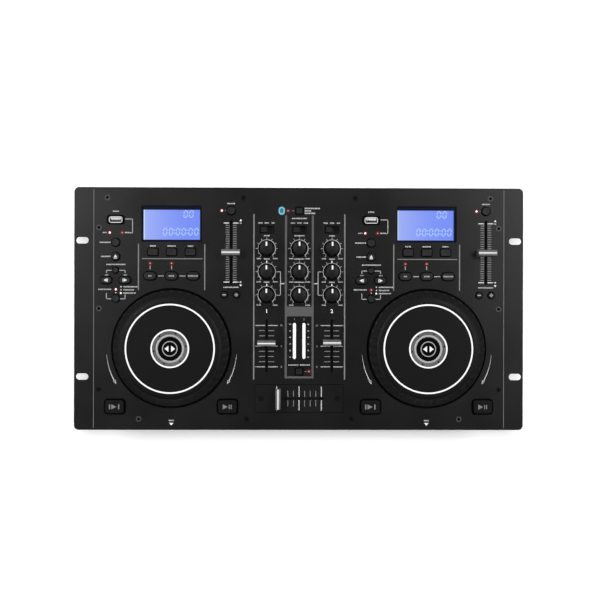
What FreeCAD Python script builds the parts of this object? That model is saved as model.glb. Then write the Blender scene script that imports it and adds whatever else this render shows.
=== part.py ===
import FreeCAD
import Part
import math
import os

# A rack-width DJ console: two slot-loading disc players, one each side of a two-channel mixer.
# Millimetres. X runs along the rack width, Y towards the back, Z up. The origin is on the table,
# under the middle of the face panel, and places on the panel are counted from its middle.

vec = FreeCAD.Vector

# Face panel
panel_width = 482.6             # 19-inch rack face
panel_depth = 260.4
panel_thickness = 2.0
panel_corner = 5.0
panel_chamfer = 0.8
ear_width = 22.3                # what the panel stands out past the housing, each side
ear_groove_offset = 1.3
ear_groove_width = 0.8
ear_groove_depth = 0.3
ear_groove_end = 2.2
rack_slot_inset = 8.75          # from the panel's end to the slot's middle
rack_slot_spacing = 146.05
rack_slot_length = 13.5
rack_slot_width = 6.9

# Housing: sheets of steel welded at their edges, with tabs under the panel
housing_depth = 247.0
housing_height = 82.0
sheet = 1.2
tab_reach = 8.0
tab_width = 14.0
vent_length = 24.0
vent_width = 3.0
vent_pitch = 9.0
vent_count = 8
vent_rise = 30.0                # from the floor up to the vents
vent_middle_y = 40.0
foot_height = 6.0
foot_radius = 11.0
foot_inset_x = 34.0
foot_inset_y = 30.0
foot_recess_radius = 4.5
foot_recess_depth = 3.5
foot_taper = 1.5                # narrower at the table
socket_plate_width = 80.0       # the middle one of the three front sheets

# Panel screws
screw_radius = 1.5
screw_length = 8.0
screw_head_radius = 3.0
screw_head_depth = 1.7
screw_socket = 1.0              # from the middle to a corner of its hexagon
screw_socket_depth = 1.0
screw_back_inset = 4.5
screw_front_inset = 5.1
screw_side_inset = 4.2
screw_back_places = (-205.8, -60.0, 60.0, 205.8)
screw_front_places = (-172.0, -56.3, 56.3, 172.0)
screw_side_places = (-86.8, 0.0, 86.8)

# Fits and clearances
seat_gap = 0.3                  # between a moving piece and what carries it
running_gap = 0.05              # a shaft in its bearing
press_gap = 0.02                # a pin pushed into its hub
shank_gap = 0.1                 # a screw in its hole
inlay_gap = 0.1                 # a lamp, socket or plate in its cut-out
slide_gap = 0.3                 # a carriage in its track

# Key boards under the panel
board_drop = 10.0               # from the panel's underside to the board's face
board_thickness = 1.6
board_width = 155.0
board_front = -116.0
board_back = 114.0
board_jog_gap = 1.5
mixer_board_width = 112.0
spacer_radius = 2.5
deck_spacer_places = (
    (-73.0, 108.0),
    (73.0, 108.0),
    (-69.5, -90.0),
    (69.5, -90.0),
    (-38.0, 22.0),
    (40.0, 22.0),
)
mixer_spacer_places = ((-52.0, 108.0), (52.0, 108.0), (-52.0, -72.0), (52.0, -72.0))
switch_side = 6.0
switch_body_height = 3.5
switch_plunger_height = 5.0
switch_plunger_radius = 1.7

# Decks
deck_offset = 137.0             # from the middle of the panel to the middle of each deck
jog_y = -42.4
jog_radius = 63.2
jog_hole_gap = 1.3
jog_height = 13.0               # top of the wheel above the panel
jog_skirt_depth = 4.0
jog_skirt_height = 2.4
jog_slope_width = 9.2           # the gripped side, from the edge in to the shoulder
jog_shoulder_drop = 0.9
jog_lip_width = 4.5             # the shoulder, in to the flat top
jog_wall = 2.2
jog_ring_inset = 6.8            # from the shoulder in to the middle of the ring
jog_ring_width = 1.9
jog_ring_depth = 0.3
jog_hub_ring_radius = 19.6
jog_hub_ring_width = 1.6
jog_band_outer = 18.4
jog_band_inner = 12.7
jog_band_depth = 0.8
jog_hub_radius = 9.0
jog_grip_count = 40
jog_grip_width = 3.2
jog_grip_depth = 0.9
jog_grip_share = 0.62           # of the sloping side's length
axle_radius = 4.0
axle_clip_radius = 7.0
axle_clip_thickness = 0.7
bearing_radius = 10.0
bearing_length = 15.0
jog_dish_room = 2.5             # the dish is this much wider than the hole above it
jog_dish_wall = 2.0
jog_dish_depth = 14.0
jog_dish_window = 17.0
jog_dish_window_count = 6

window_y = 91.0
window_width = 64.5
window_depth = 39.0
window_corner = 1.0
screen_width = 60.2
screen_depth = 33.8
screen_drop = 7.0
screen_margin = 3.0

usb_x = -59.8
usb_y = 95.2
usb_bezel_width = 19.4
usb_bezel_depth = 10.3
usb_bezel_rise = 0.6
usb_bezel_lip = 1.1
usb_lip_width = 15.5
usb_lip_depth = 7.6
usb_mouth_width = 12.5
usb_mouth_depth = 5.1
usb_wall = 0.4
usb_lip_thickness = 0.5
usb_tongue_width = 11.1
usb_tongue_thickness = 1.8
usb_tongue_offset = 0.9
usb_tongue_drop = 1.0
usb_length = 11.5

lamp_radius = 1.5
lamp_rise = 0.4
deck_lamp_places = (
    (-66.2, 81.4),
    (-52.9, 81.4),
    (-59.6, 20.5),
    (-23.0, 48.5),
    (0.0, 48.5),
    (53.7, 105.3),
)
mixer_lamp_places = ((-12.3, 105.3), (10.6, -67.2))
oval_lamp_x = -19.0
oval_lamp_y = 105.3
oval_lamp_width = 7.3
oval_lamp_depth = 9.5
meter_x = 5.1
meter_y = -34.45
meter_width = 4.4
meter_length = 39.7

# Keys: name, caps as (x, y, width, depth, corner), gap round the cap, rise above the panel, travel
deck_keys = (
    ("select_button", ((-59.8, 70.9, 8.8, 8.8, 4.4),), 0.5, 1.8, 0.5),
    ("eject_button", ((-59.8, 55.8, 8.8, 8.8, 4.4),), 0.5, 1.8, 0.5),
    ("plus_ten_button", ((-60.0, 41.1, 6.6, 6.6, 3.3),), 0.5, 1.8, 0.5),
    ("search_buttons", ((-69.9, 30.4, 12.5, 7.8, 3.9), (-49.9, 30.4, 12.5, 7.8, 3.9)), 0.9, 1.8, 0.5),
    ("jog_mode_button", ((-59.6, 10.8, 8.0, 8.0, 4.0),), 0.5, 1.8, 0.5),
    (
        "display_buttons",
        ((-20.0, 60.7, 11.0, 8.0, 1.6), (0.0, 60.7, 11.0, 8.0, 1.6), (20.2, 60.7, 11.0, 8.0, 1.6)),
        0.8,
        1.6,
        0.5,
    ),
    (
        "loop_buttons",
        ((-23.0, 35.0, 13.6, 8.6, 4.3), (0.0, 35.0, 13.6, 8.6, 4.3), (23.0, 35.0, 13.6, 8.6, 4.3)),
        0.85,
        1.8,
        0.5,
    ),
    ("pitch_button", ((63.7, 105.3, 9.0, 9.0, 4.5),), 0.5, 1.8, 0.5),
    ("bend_buttons", ((56.5, 14.9, 6.8, 6.8, 3.4), (69.5, 14.9, 6.8, 6.8, 3.4)), 0.6, 1.8, 0.5),
    ("cue_button", ((-60.3, -105.0, 20.4, 14.5, 3.0),), 1.5, 3.0, 1.0),
    ("play_button", ((60.3, -105.0, 20.4, 14.5, 3.0),), 1.5, 3.0, 1.0),
)
mixer_keys = (
    ("pairing_button", ((0.0, 105.3, 7.0, 7.0, 0.8),), 0.4, 1.2, 0.5),
    ("fader_start_button", ((0.0, -67.4, 7.0, 7.0, 0.8),), 0.4, 1.2, 0.5),
)
key_chamfer = 0.6
key_flange = 1.2                # what the flange stands out past the hole, all round
key_flange_thickness = 1.0
key_stem_radius = 1.7

# Faders: name, x, y of the slot's middle, place of the cap along the slot from there
fader_slot_width = 2.4
fader_body_width = 9.0
fader_body_end = 3.4
fader_track_depth = 5.5
lever_thickness = 1.2
lever_width = 4.4
lever_socket_depth = 5.0
carriage_height = 3.0
cap_lift = 0.8
cap_height = 11.2
cap_dip = 1.3
cap_lip_share = 0.8             # half the width at the top, over half the width at the foot
cap_waist_share = 0.68
cap_waist_rise = 0.45           # where the waist is, over the cap's height
pitch_slot_length = 68.9
pitch_cap = (20.7, 7.3)
pitch_fader = (63.8, 60.75, -0.55)
channel_slot_length = 56.9
channel_cap = (20.2, 6.5)
channel_faders = (("channel_fader_1", -35.0, -39.85, 3.05), ("channel_fader_2", 35.0, -39.85, 3.85))
cross_slot_length = 53.0
cross_cap = (22.0, 6.5)
cross_fader = (0.0, -96.3, -22.5)
cross_plate_width = 95.0
cross_plate_depth = 30.2
cross_plate_thickness = 1.2
cross_plate_corner = 0.8
cross_opening_width = 72.0
cross_opening_depth = 21.0
cross_screw_x = 41.0
cross_screw_length = 5.0

# Rotary knobs: name, x, y
knob_radius = 8.0
knob_top_radius = 6.9
knob_height = 13.5
knob_lift = 0.8
knob_skirt = 2.6
knob_bevel = 0.9
knob_pointer_width = 1.7
knob_pointer_length = 4.8
knob_pointer_depth = 0.35
knob_hollow_radius = 6.0
knob_hollow_depth = 6.5
knob_boss_radius = 4.4
knob_boss_lift = 1.0            # the boss ends this much above the skirt's edge
knob_roof = 2.5
knob_step = 0.5                 # the skirt's step
knob_draft = 0.6                # the hollow narrows by this much
shaft_radius = 3.0
shaft_hole_gap = 0.8
pot_width = 10.0
pot_depth = 11.0
pot_height = 6.5
pot_bush_radius = 3.7
pot_bush_height = 2.2
pot_bore_depth = 5.0
knob_places = (
    ("gain_knob_1", -35.0, 64.8),
    ("treble_knob_1", -35.0, 39.8),
    ("bass_knob_1", -35.0, 14.9),
    ("cue_volume_knob", 0.0, 64.8),
    ("mic_volume_knob", 0.0, 39.8),
    ("master_knob", 0.0, 14.9),
    ("gain_knob_2", 35.0, 64.8),
    ("treble_knob_2", 35.0, 39.8),
    ("bass_knob_2", 35.0, 14.9),
)

# Slide switches: name, x
switch_places = (("input_switch_1", -35.0), ("cue_switch", 0.0), ("input_switch_2", 35.0))
switch_y = 85.1
switch_slot_width = 14.0
switch_slot_depth = 6.9
switch_handle_width = 6.3
switch_handle_depth = 5.7
switch_handle_rise = 0.6
switch_rib_rise = 0.6
switch_travel = 6.4
switch_case_margin = 2.0
switch_track_depth = 4.0

# Disc drives, one behind each slot in the front wall
drive_width = 148.0
drive_depth = 150.0
drive_height = 30.0
drive_sheet = 1.2
drive_standoff = 12.8
drive_standoff_radius = 4.0
drive_standoff_inset = 9.0
slot_width = 126.0
slot_height = 5.6
slot_rise = 14.8                # slot's middle above the drive's underside
turntable_back = 76.0           # from the slot's front edge to the spindle
turntable_radius = 16.0
turntable_thickness = 2.2
turntable_hub_radius = 7.3
turntable_hub_height = 2.0
motor_radius = 11.0
motor_height = 5.4
motor_shaft_radius = 1.5
motor_shaft_length = 4.0
turntable_hub_taper = 0.8
roller_radius = 2.6
roller_back = 9.0

# Power supply behind the mixer
supply_x = 0.0
supply_y = 62.0
supply_width = 86.0
supply_depth = 78.0
supply_standoff = 8.0
supply_post_inset = 5.0
transformer_size = (44.0, 38.0, 34.0)
transformer_inset = 6.0
core_depth_share = 0.55
coil_width_share = 0.62
coil_height_share = 0.86
coil_corner = 4.0
capacitor_radius = 9.0
capacitor_height = 26.0
capacitor_inset = 16.0
capacitor_gap = 4.0
heat_sink_size = (60.0, 14.0, 26.0)
heat_sink_fins = 7
heat_sink_inset = 5.0
heat_sink_base = 3.0            # thickness of its floor
heat_sink_back = 2.0
heat_sink_gap_share = 0.6       # of the fins' pitch

# Connectors
rear_row_height = 47.0          # above the table
phono_radius = 4.15
phono_pin_radius = 1.6
phono_pin_depth = 6.0
phono_length = 6.4
phono_spacing = 14.0
phono_columns = (36.0, 56.0, 76.0, 96.0)
phono_case = (14.0, 12.0)
phono_case_gap = 1.0            # between one case and the one above it
ground_x = 8.0
ground_post_radius = 2.0
ground_nut_radius = 4.6
ground_length = 6.0
ground_thread_end = 1.5         # what the post stands out past its nut
ground_lug_thickness = 2.5
ground_post_back = 6.0
inlet_x = -150.0
inlet_flange = (31.0, 23.0)
inlet_flange_thickness = 1.6
inlet_body = (27.0, 19.6)
inlet_mouth = (24.0, 16.4)
inlet_depth = 22.0
inlet_mouth_depth = 16.0
inlet_pin = (2.0, 4.0)
inlet_pin_drop = 1.5
inlet_pin_spacing = 14.0
inlet_pin_length = 13.0
rocker_x = -186.0
rocker_size = (11.0, 17.0)
rocker_frame = (15.0, 21.0)
rocker_frame_thickness = 1.4
rocker_case_depth = 18.0
rocker_thickness = 9.0
rocker_angle = 8.0
rocker_gap = 0.4
rocker_rim = 1.0                # what the frame covers of the wall round the case
rocker_face_stand = 1.2
rocker_well_stand = 2.0         # the well runs out past the wall, and past the rocker's back
rocker_back_depth = 3.0
rocker_edge = 1.5
rocker_pin_radius = 1.0
jack_x = 22.0
jack_rise = 46.0
jack_bore_radius = 3.25
jack_bore_length = 30.0
jack_nose_radius = 5.5
jack_nut_radius = 8.0
jack_nut_thickness = 3.2
jack_case = (16.0, 16.0)
jack_case_back = 3.0
jack_nose_stand = 0.6           # what the nose stands out past its nut

# Levels
floor_bottom = foot_height
floor_top = floor_bottom + sheet
panel_under = foot_height + housing_height
panel_top = panel_under + panel_thickness
board_top = panel_under - board_drop
housing_width = panel_width - 2 * ear_width
housing_x = housing_width / 2
housing_y = housing_depth / 2
switch_top = board_top + switch_plunger_height
drive_under = floor_top + drive_standoff
drive_front = -housing_y + sheet + seat_gap
slot_z = drive_under + slot_rise
deck_middles = (("left", -deck_offset), ("right", deck_offset))
jog_shoulder_radius = jog_radius - jog_slope_width
jog_flat_radius = jog_shoulder_radius - jog_lip_width
jog_ring_radius = jog_shoulder_radius - jog_ring_inset
jog_dish_radius = jog_radius + jog_hole_gap + jog_dish_room + jog_dish_wall


# Shapes

def block(x, y, width, depth, low, high):
    return Part.makeBox(width, depth, high - low, vec(x - width / 2, y - depth / 2, low))


def disc(x, y, radius, low, high):
    return Part.makeCylinder(radius, high - low, vec(x, y, low))


def outline(x, y, width, depth, corner, level):
    # Closed outline of a rectangle with round corners; a corner of half a side makes that end round.
    if corner * 2 >= width and corner * 2 >= depth:
        return Part.Wire([Part.makeCircle(corner, vec(x, y, level))])
    edges = []
    half_x = width / 2 - corner
    half_y = depth / 2 - corner
    starts = []
    ends = []
    for turn, side_x, side_y in ((0, 1, 1), (90, -1, 1), (180, -1, -1), (270, 1, -1)):
        middle = vec(x + side_x * half_x, y + side_y * half_y, level)
        points = []
        for angle in (turn, turn + 45, turn + 90):
            reach = vec(corner * math.cos(math.radians(angle)), corner * math.sin(math.radians(angle)), 0)
            points.append(middle + reach)
        starts.append(points[0])
        ends.append(points[2])
        edges.append(Part.Arc(*points).toShape())
    for index in range(4):
        start = ends[index]
        finish = starts[(index + 1) % 4]
        if start.distanceToPoint(finish) > 1e-6:
            edges.append(Part.makeLine(start, finish))
    return Part.Wire(Part.__sortEdges__(edges))


def plate(x, y, width, depth, corner, low, high):
    face = Part.Face(outline(x, y, width, depth, corner, low))
    return face.extrude(vec(0, 0, high - low))


def turned(x, y, profile):
    # Solid of revolution about the upright line through x, y; the profile is a list of (radius, height).
    points = [vec(x + radius, y, height) for radius, height in profile]
    face = Part.Face(Part.makePolygon(points + points[:1]))
    return face.revolve(vec(x, y, 0), vec(0, 0, 1), 360)


def along_y(x, z, radius, front, back):
    return Part.makeCylinder(radius, back - front, vec(x, front, z), vec(0, 1, 0))


def softened(solid, level, size):
    # Chamfer round every edge that lies flat at one level.
    rim = []
    for edge in solid.Edges:
        points = [vertex.Point.z for vertex in edge.Vertexes] + [edge.CenterOfMass.z]
        if max(abs(height - level) for height in points) < 1e-5:
            rim.append(edge)
    return solid.makeChamfer(size, rim)


# Keys

def key_cap(cap, gap, rise, travel):
    # Cap, the flange that keeps it under the panel, and the stem that presses the switch.
    x, y, width, depth, corner = cap
    flange_top = panel_under - seat_gap
    flange_low = flange_top - key_flange_thickness
    spread = 2 * (gap + key_flange)
    top = plate(x, y, width, depth, corner, flange_low, panel_top + rise)
    top = softened(top, panel_top + rise, key_chamfer)
    flange_corner = min(corner + gap + key_flange, (min(width, depth) + spread) / 2)
    flange = plate(x, y, width + spread, depth + spread, flange_corner, flange_low, flange_top)
    stem = disc(x, y, key_stem_radius, switch_top + travel + seat_gap, flange_low)
    return top.fuse([flange, stem]).removeSplitter()


def key_hole(cap, gap):
    x, y, width, depth, corner = cap
    hole_corner = min(corner + gap, min(width, depth) / 2 + gap)
    return plate(x, y, width + 2 * gap, depth + 2 * gap, hole_corner, panel_under - 1, panel_top + 1)


def tact_switch(x, y):
    case = block(x, y, switch_side, switch_side, board_top, board_top + switch_body_height)
    plunger = disc(x, y, switch_plunger_radius, board_top + switch_body_height, switch_top)
    return case.fuse(plunger)


def moved_caps(caps, middle):
    return [(x + middle, y, width, depth, corner) for x, y, width, depth, corner in caps]


# Faders, built with their travel along Y and turned where they slide along X

def fader_cap(cap_size, lever_z):
    # Cap with a finger dip along its top, on the flat lever that comes up through the slot.
    length, width = cap_size
    low = panel_top + cap_lift
    high = low + cap_height
    half = width / 2
    lip = half * cap_lip_share
    waist = half * cap_waist_share
    waist_level = low + cap_height * cap_waist_rise
    points = [
        vec(-length / 2, -half, low),
        vec(-length / 2, half, low),
        vec(-length / 2, waist, waist_level),
        vec(-length / 2, lip, high),
        vec(-length / 2, 0, high - cap_dip),
        vec(-length / 2, -lip, high),
        vec(-length / 2, -waist, waist_level),
    ]
    edges = [Part.makeLine(points[0], points[1]), Part.makeLine(points[1], points[2])]
    edges.append(Part.makeLine(points[2], points[3]))
    edges.append(Part.Arc(points[3], points[4], points[5]).toShape())
    edges.append(Part.makeLine(points[5], points[6]))
    edges.append(Part.makeLine(points[6], points[0]))
    cap = Part.Face(Part.Wire(edges)).extrude(vec(length, 0, 0))
    socket_top = low + lever_socket_depth
    socket_size = (lever_thickness + 2 * press_gap, lever_width + 2 * press_gap)
    cap = cap.cut(block(0, 0, socket_size[0], socket_size[1], low - 1, socket_top))
    lever = block(0, 0, lever_thickness, lever_width, lever_z, socket_top - press_gap)
    carriage = block(0, 0, fader_slot_width, lever_width, lever_z, lever_z + carriage_height)
    return [cap, lever.fuse(carriage).removeSplitter()]


def fader_body(slot_length, top):
    # Slide potentiometer: a closed case with a track in its top for the lever's carriage.
    length = slot_length + 2 * fader_body_end
    case = block(0, 0, fader_body_width, length, board_top, top)
    track_width = fader_slot_width + 2 * slide_gap
    track = block(0, 0, track_width, slot_length, top - fader_track_depth, top + 1)
    return case.cut(track)


def fader_slot(slot_length):
    radius = fader_slot_width / 2
    return plate(0, 0, fader_slot_width, slot_length, radius, panel_under - 1, panel_top + 1)


def placed(shape, x, y, turn=0):
    copy = shape.copy()
    if turn:
        copy.rotate(vec(0, 0, 0), vec(0, 0, 1), turn)
    copy.translate(vec(x, y, 0))
    return copy


fader_top = panel_under - seat_gap
lever_low = fader_top - fader_track_depth + seat_gap
cross_top = panel_top - cross_plate_thickness - seat_gap
cross_lever_low = cross_top - fader_track_depth + seat_gap


# Jog wheel, its axle and the dish that carries them

def jog_grips(x, y):
    # Finger grips: shallow upright notches all round the sloping side.
    low = panel_top + jog_skirt_height
    high = panel_top + jog_height - jog_shoulder_drop
    slope = math.atan2(high - low, jog_radius - jog_shoulder_radius)
    length = math.hypot(high - low, jog_radius - jog_shoulder_radius) * jog_grip_share
    notch = block(0, 0, length, jog_grip_width, -jog_grip_depth, jog_grip_depth)
    notch.rotate(vec(0, 0, 0), vec(0, 1, 0), math.degrees(slope))
    notch.translate(vec((jog_radius + jog_shoulder_radius) / 2, 0, (low + high) / 2))
    notches = []
    for index in range(jog_grip_count):
        copy = notch.copy()
        copy.rotate(vec(0, 0, 0), vec(0, 0, 1), 360 * index / jog_grip_count)
        copy.translate(vec(x, y, 0))
        notches.append(copy)
    return notches


def ring_groove(x, y, radius, width, depth, top):
    outer = disc(x, y, radius + width / 2, top - depth, top + 1)
    return outer.cut(disc(x, y, radius - width / 2, top - depth - 1, top + 2))


def jog_wheel(x, y):
    top = panel_top + jog_height
    skirt_low = panel_top - jog_skirt_depth
    skirt_high = panel_top + jog_skirt_height
    shoulder = top - jog_shoulder_drop
    ceiling = top - jog_wall
    profile = [
        (axle_radius + press_gap, skirt_low),
        (axle_radius + press_gap, ceiling),
        (0, ceiling),
        (0, top),
        (jog_band_inner, top),
        (jog_band_inner, top - jog_band_depth),
        (jog_band_outer, top - jog_band_depth / 3),
        (jog_band_outer, top),
        (jog_flat_radius, top),
        (jog_shoulder_radius, shoulder),
        (jog_radius, skirt_high),
        (jog_radius, skirt_low),
        (jog_radius - jog_wall, skirt_low),
        (jog_radius - jog_wall, skirt_high - jog_wall / 2),
        (jog_shoulder_radius - jog_wall, ceiling),
        (jog_hub_radius, ceiling),
        (jog_hub_radius, skirt_low),
    ]
    wheel = turned(x, y, profile)
    cuts = jog_grips(x, y)
    cuts.append(ring_groove(x, y, jog_ring_radius, jog_ring_width, jog_ring_depth, top))
    cuts.append(ring_groove(x, y, jog_hub_ring_radius, jog_hub_ring_width, jog_ring_depth, top))
    wheel = wheel.cut(cuts)
    bearing_top = skirt_low - seat_gap
    bearing_low = bearing_top - bearing_length
    clip_top = bearing_low - seat_gap
    axle_profile = [
        (0, clip_top - axle_clip_thickness * 2),
        (axle_radius, clip_top - axle_clip_thickness * 2),
        (axle_radius, clip_top - axle_clip_thickness),
        (axle_clip_radius, clip_top - axle_clip_thickness),
        (axle_clip_radius, clip_top),
        (axle_radius, clip_top),
        (axle_radius, ceiling - press_gap),
        (0, ceiling - press_gap),
    ]
    return [wheel, turned(x, y, axle_profile)]


def jog_base(x, y):
    # Dish fixed to the panel's underside, with windows in its floor and the axle's bearing in the middle.
    bearing_top = panel_top - jog_skirt_depth - seat_gap
    bearing_low = bearing_top - bearing_length
    floor_low = panel_under - jog_dish_depth
    bore = axle_radius + running_gap
    profile = [
        (bore, bearing_low),
        (bore, bearing_top),
        (bearing_radius, bearing_top),
        (bearing_radius, floor_low + jog_dish_wall),
        (jog_dish_radius - jog_dish_wall, floor_low + jog_dish_wall),
        (jog_dish_radius - jog_dish_wall, panel_under),
        (jog_dish_radius, panel_under),
        (jog_dish_radius, floor_low),
        (bearing_radius, floor_low),
        (bearing_radius, bearing_low),
    ]
    dish = turned(x, y, profile)
    reach = (bearing_radius + jog_dish_radius) / 2
    floor_high = floor_low + jog_dish_wall
    windows = []
    for index in range(jog_dish_window_count):
        angle = 2 * math.pi * index / jog_dish_window_count
        hole_x = x + reach * math.cos(angle)
        hole_y = y + reach * math.sin(angle)
        windows.append(disc(hole_x, hole_y, jog_dish_window, floor_low - 1, floor_high + 1))
    return dish.cut(windows)


# Knobs

def knob(x, y):
    # Moulded knob, hollow under its skirt, pushed on the potentiometer's shaft.
    low = panel_top + knob_lift
    high = low + knob_height
    hollow_top = low + knob_hollow_depth
    boss_low = low + knob_boss_lift
    roof = high - knob_roof
    grip = shaft_radius + press_gap
    profile = [
        (grip, boss_low),
        (grip, roof),
        (0, roof),
        (0, high),
        (knob_top_radius - knob_bevel, high),
        (knob_top_radius, high - knob_bevel),
        (knob_radius - knob_step, low + knob_skirt),
        (knob_radius, low + knob_skirt - knob_step),
        (knob_radius, low),
        (knob_hollow_radius + knob_draft, low),
        (knob_hollow_radius, hollow_top),
        (knob_boss_radius, hollow_top),
        (knob_boss_radius, boss_low),
    ]
    body = turned(x, y, profile)
    pointer_y = y + knob_top_radius - knob_pointer_length / 2
    pointer_low = high - knob_pointer_depth
    pointer = block(x, pointer_y, knob_pointer_width, knob_pointer_length, pointer_low, high + 1)
    body = body.cut(pointer)
    shaft_low = board_top + pot_height + pot_bush_height - pot_bore_depth + seat_gap
    shaft = disc(x, y, shaft_radius, shaft_low, roof - press_gap)
    return [body, shaft]


def potentiometer(x, y):
    case = block(x, y, pot_width, pot_depth, board_top, board_top + pot_height)
    bush_top = board_top + pot_height + pot_bush_height
    bush = disc(x, y, pot_bush_radius, board_top + pot_height, bush_top)
    bore = disc(x, y, shaft_radius + running_gap, bush_top - pot_bore_depth, bush_top + 1)
    return case.fuse(bush).cut(bore)


# Slide switches

switch_case_top = panel_under - seat_gap
handle_low = switch_case_top - switch_track_depth + seat_gap


def switch_handle(x, y):
    # Handle at the left end of its slot, with a grip rib across its top.
    left = x - switch_travel / 2
    high = panel_top + switch_handle_rise
    handle = block(left, y, switch_handle_width, switch_handle_depth, handle_low, high)
    rib = block(left, y, switch_handle_width / 4, switch_handle_depth, high, high + switch_rib_rise)
    return handle.fuse(rib).removeSplitter()


def switch_case(x, y):
    width = switch_slot_width + 2 * switch_case_margin
    depth = switch_slot_depth + 2 * switch_case_margin
    case = block(x, y, width, depth, board_top, switch_case_top)
    track_low = switch_case_top - switch_track_depth
    return case.cut(block(x, y, switch_slot_width, switch_slot_depth, track_low, switch_case_top + 1))


# Housing

def screw_places():
    places = [(x, housing_y - screw_back_inset) for x in screw_back_places]
    places += [(x, -housing_y + screw_front_inset) for x in screw_front_places]
    for y in screw_side_places:
        places.append((-housing_x + screw_side_inset, y))
        places.append((housing_x - screw_side_inset, y))
    return places


def countersink(x, y, depth):
    # The room a screw needs in the panel: its cone and its shank, both with their gap.
    head = screw_head_radius + shank_gap
    shank = screw_radius + shank_gap
    profile = [
        (0, panel_top + 1),
        (head, panel_top + 1),
        (head, panel_top),
        (shank, panel_top - screw_head_depth),
        (shank, panel_top - depth),
        (0, panel_top - depth),
    ]
    return turned(x, y, profile)


def screw(x, y, length):
    # Countersunk screw with a hexagon socket, flush with the panel.
    profile = [
        (0, panel_top),
        (screw_head_radius, panel_top),
        (screw_radius, panel_top - screw_head_depth),
        (screw_radius, panel_top - length),
        (0, panel_top - length),
    ]
    body = turned(x, y, profile)
    corners = []
    for index in range(7):
        angle = math.pi / 3 * index
        reach = vec(screw_socket * math.cos(angle), screw_socket * math.sin(angle), 0)
        corners.append(vec(x, y, panel_top - screw_socket_depth) + reach)
    socket = Part.Face(Part.makePolygon(corners)).extrude(vec(0, 0, 2 * screw_socket_depth))
    return body.cut(socket)


def rear_phono_places():
    places = []
    for x in phono_columns:
        places.append((x, rear_row_height - phono_spacing / 2))
        places.append((x, rear_row_height + phono_spacing / 2))
    return places


def tabs_along_y(side):
    # Tabs under the panel from a side wall, one for each screw on that side.
    middle = side * (housing_x - sheet / 2 - tab_reach / 2)
    tabs = []
    for x, y in screw_places():
        if x * side > housing_x - tab_reach:
            tabs.append(block(middle, y, tab_reach + sheet, tab_width, panel_under - sheet, panel_under))
    return tabs


def tabs_along_x(side, left, right):
    # Tabs under the panel from the front or the back, for the screws between left and right.
    middle = side * (housing_y - sheet / 2 - tab_reach / 2)
    tabs = []
    for x, y in screw_places():
        if y * side > housing_y - tab_reach and left < x < right:
            tabs.append(block(x, middle, tab_width, tab_reach + sheet, panel_under - sheet, panel_under))
    return tabs


def housing_floor():
    floor = block(0, 0, housing_width, housing_depth, floor_bottom, floor_top)
    posts = []
    for _, middle in deck_middles:
        for x, y in drive_standoff_places(middle):
            posts.append(disc(x, y, drive_standoff_radius, floor_bottom, drive_under))
    for side_x in (-1, 1):
        for side_y in (-1, 1):
            x = supply_x + side_x * (supply_width / 2 - supply_post_inset)
            y = supply_y + side_y * (supply_depth / 2 - supply_post_inset)
            posts.append(disc(x, y, drive_standoff_radius, floor_bottom, floor_top + supply_standoff))
    return floor.fuse(posts).removeSplitter()


def side_wall(side):
    middle = side * (housing_x - sheet / 2)
    wall = block(middle, 0, sheet, housing_depth, floor_top, panel_under)
    wall = wall.fuse(tabs_along_y(side)).removeSplitter()
    cuts = screw_holes()
    vent_low = floor_top + vent_rise
    vent_row = (vent_count - 1) * vent_pitch
    for index in range(vent_count):
        y = vent_middle_y + index * vent_pitch - vent_row / 2
        cuts.append(block(middle, y, 4 * sheet, vent_width, vent_low, vent_low + vent_length))
    return wall.cut(cuts)


def screw_holes():
    low = panel_under - 2 * sheet
    return [disc(x, y, screw_radius + shank_gap, low, panel_under + 1) for x, y in screw_places()]


def wall_along_x(side, left, right):
    # Upright sheet at the front or the back, standing on the floor between left and right.
    width = right - left
    middle_y = side * (housing_y - sheet / 2)
    wall = block((left + right) / 2, middle_y, width, sheet, floor_top, panel_under)
    return wall.fuse(tabs_along_x(side, left, right)).removeSplitter()


def back_wall():
    wall = wall_along_x(1, -housing_x + sheet, housing_x - sheet)
    cuts = screw_holes()
    back = housing_y - sheet - 1
    for x, z in rear_phono_places():
        cuts.append(along_y(x, z, phono_radius + inlay_gap, back, housing_y + 1))
    cuts.append(along_y(ground_x, rear_row_height, ground_post_radius + inlay_gap, back, housing_y + 1))
    for middle, size in ((inlet_x, inlet_body), (rocker_x, rocker_case_size())):
        low = rear_row_height - size[1] / 2 - inlay_gap
        high = rear_row_height + size[1] / 2 + inlay_gap
        cuts.append(block(middle, housing_y, size[0] + 2 * inlay_gap, 4 * sheet, low, high))
    return wall.cut(cuts)


def front_walls():
    # A sheet with a disc slot at each side, and between them the plate that carries the sockets.
    inner = socket_plate_width / 2
    outer = housing_x - sheet
    walls = []
    slot_low = slot_z - slot_height / 2
    for _, middle in deck_middles:
        left, right = (-outer, -inner) if middle < 0 else (inner, outer)
        slot = block(middle, -housing_y, slot_width, 4 * sheet, slot_low, slot_low + slot_height)
        walls.append(wall_along_x(-1, left, right).cut(screw_holes() + [slot]))
    hole = jack_nose_radius + inlay_gap
    inside = -housing_y + sheet
    holes = [along_y(x, jack_rise, hole, -housing_y - 1, inside + 1) for x in (-jack_x, jack_x)]
    walls.append(wall_along_x(-1, -inner, inner).cut(holes))
    return walls


def housing():
    return [housing_floor(), side_wall(-1), side_wall(1), back_wall()] + front_walls()


def drive_standoff_places(middle):
    places = []
    for side in (-1, 1):
        x = middle + side * (drive_width / 2 - drive_standoff_inset)
        places.append((x, drive_front + drive_standoff_inset))
        places.append((x, drive_front + drive_depth - drive_standoff_inset))
    return places


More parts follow.
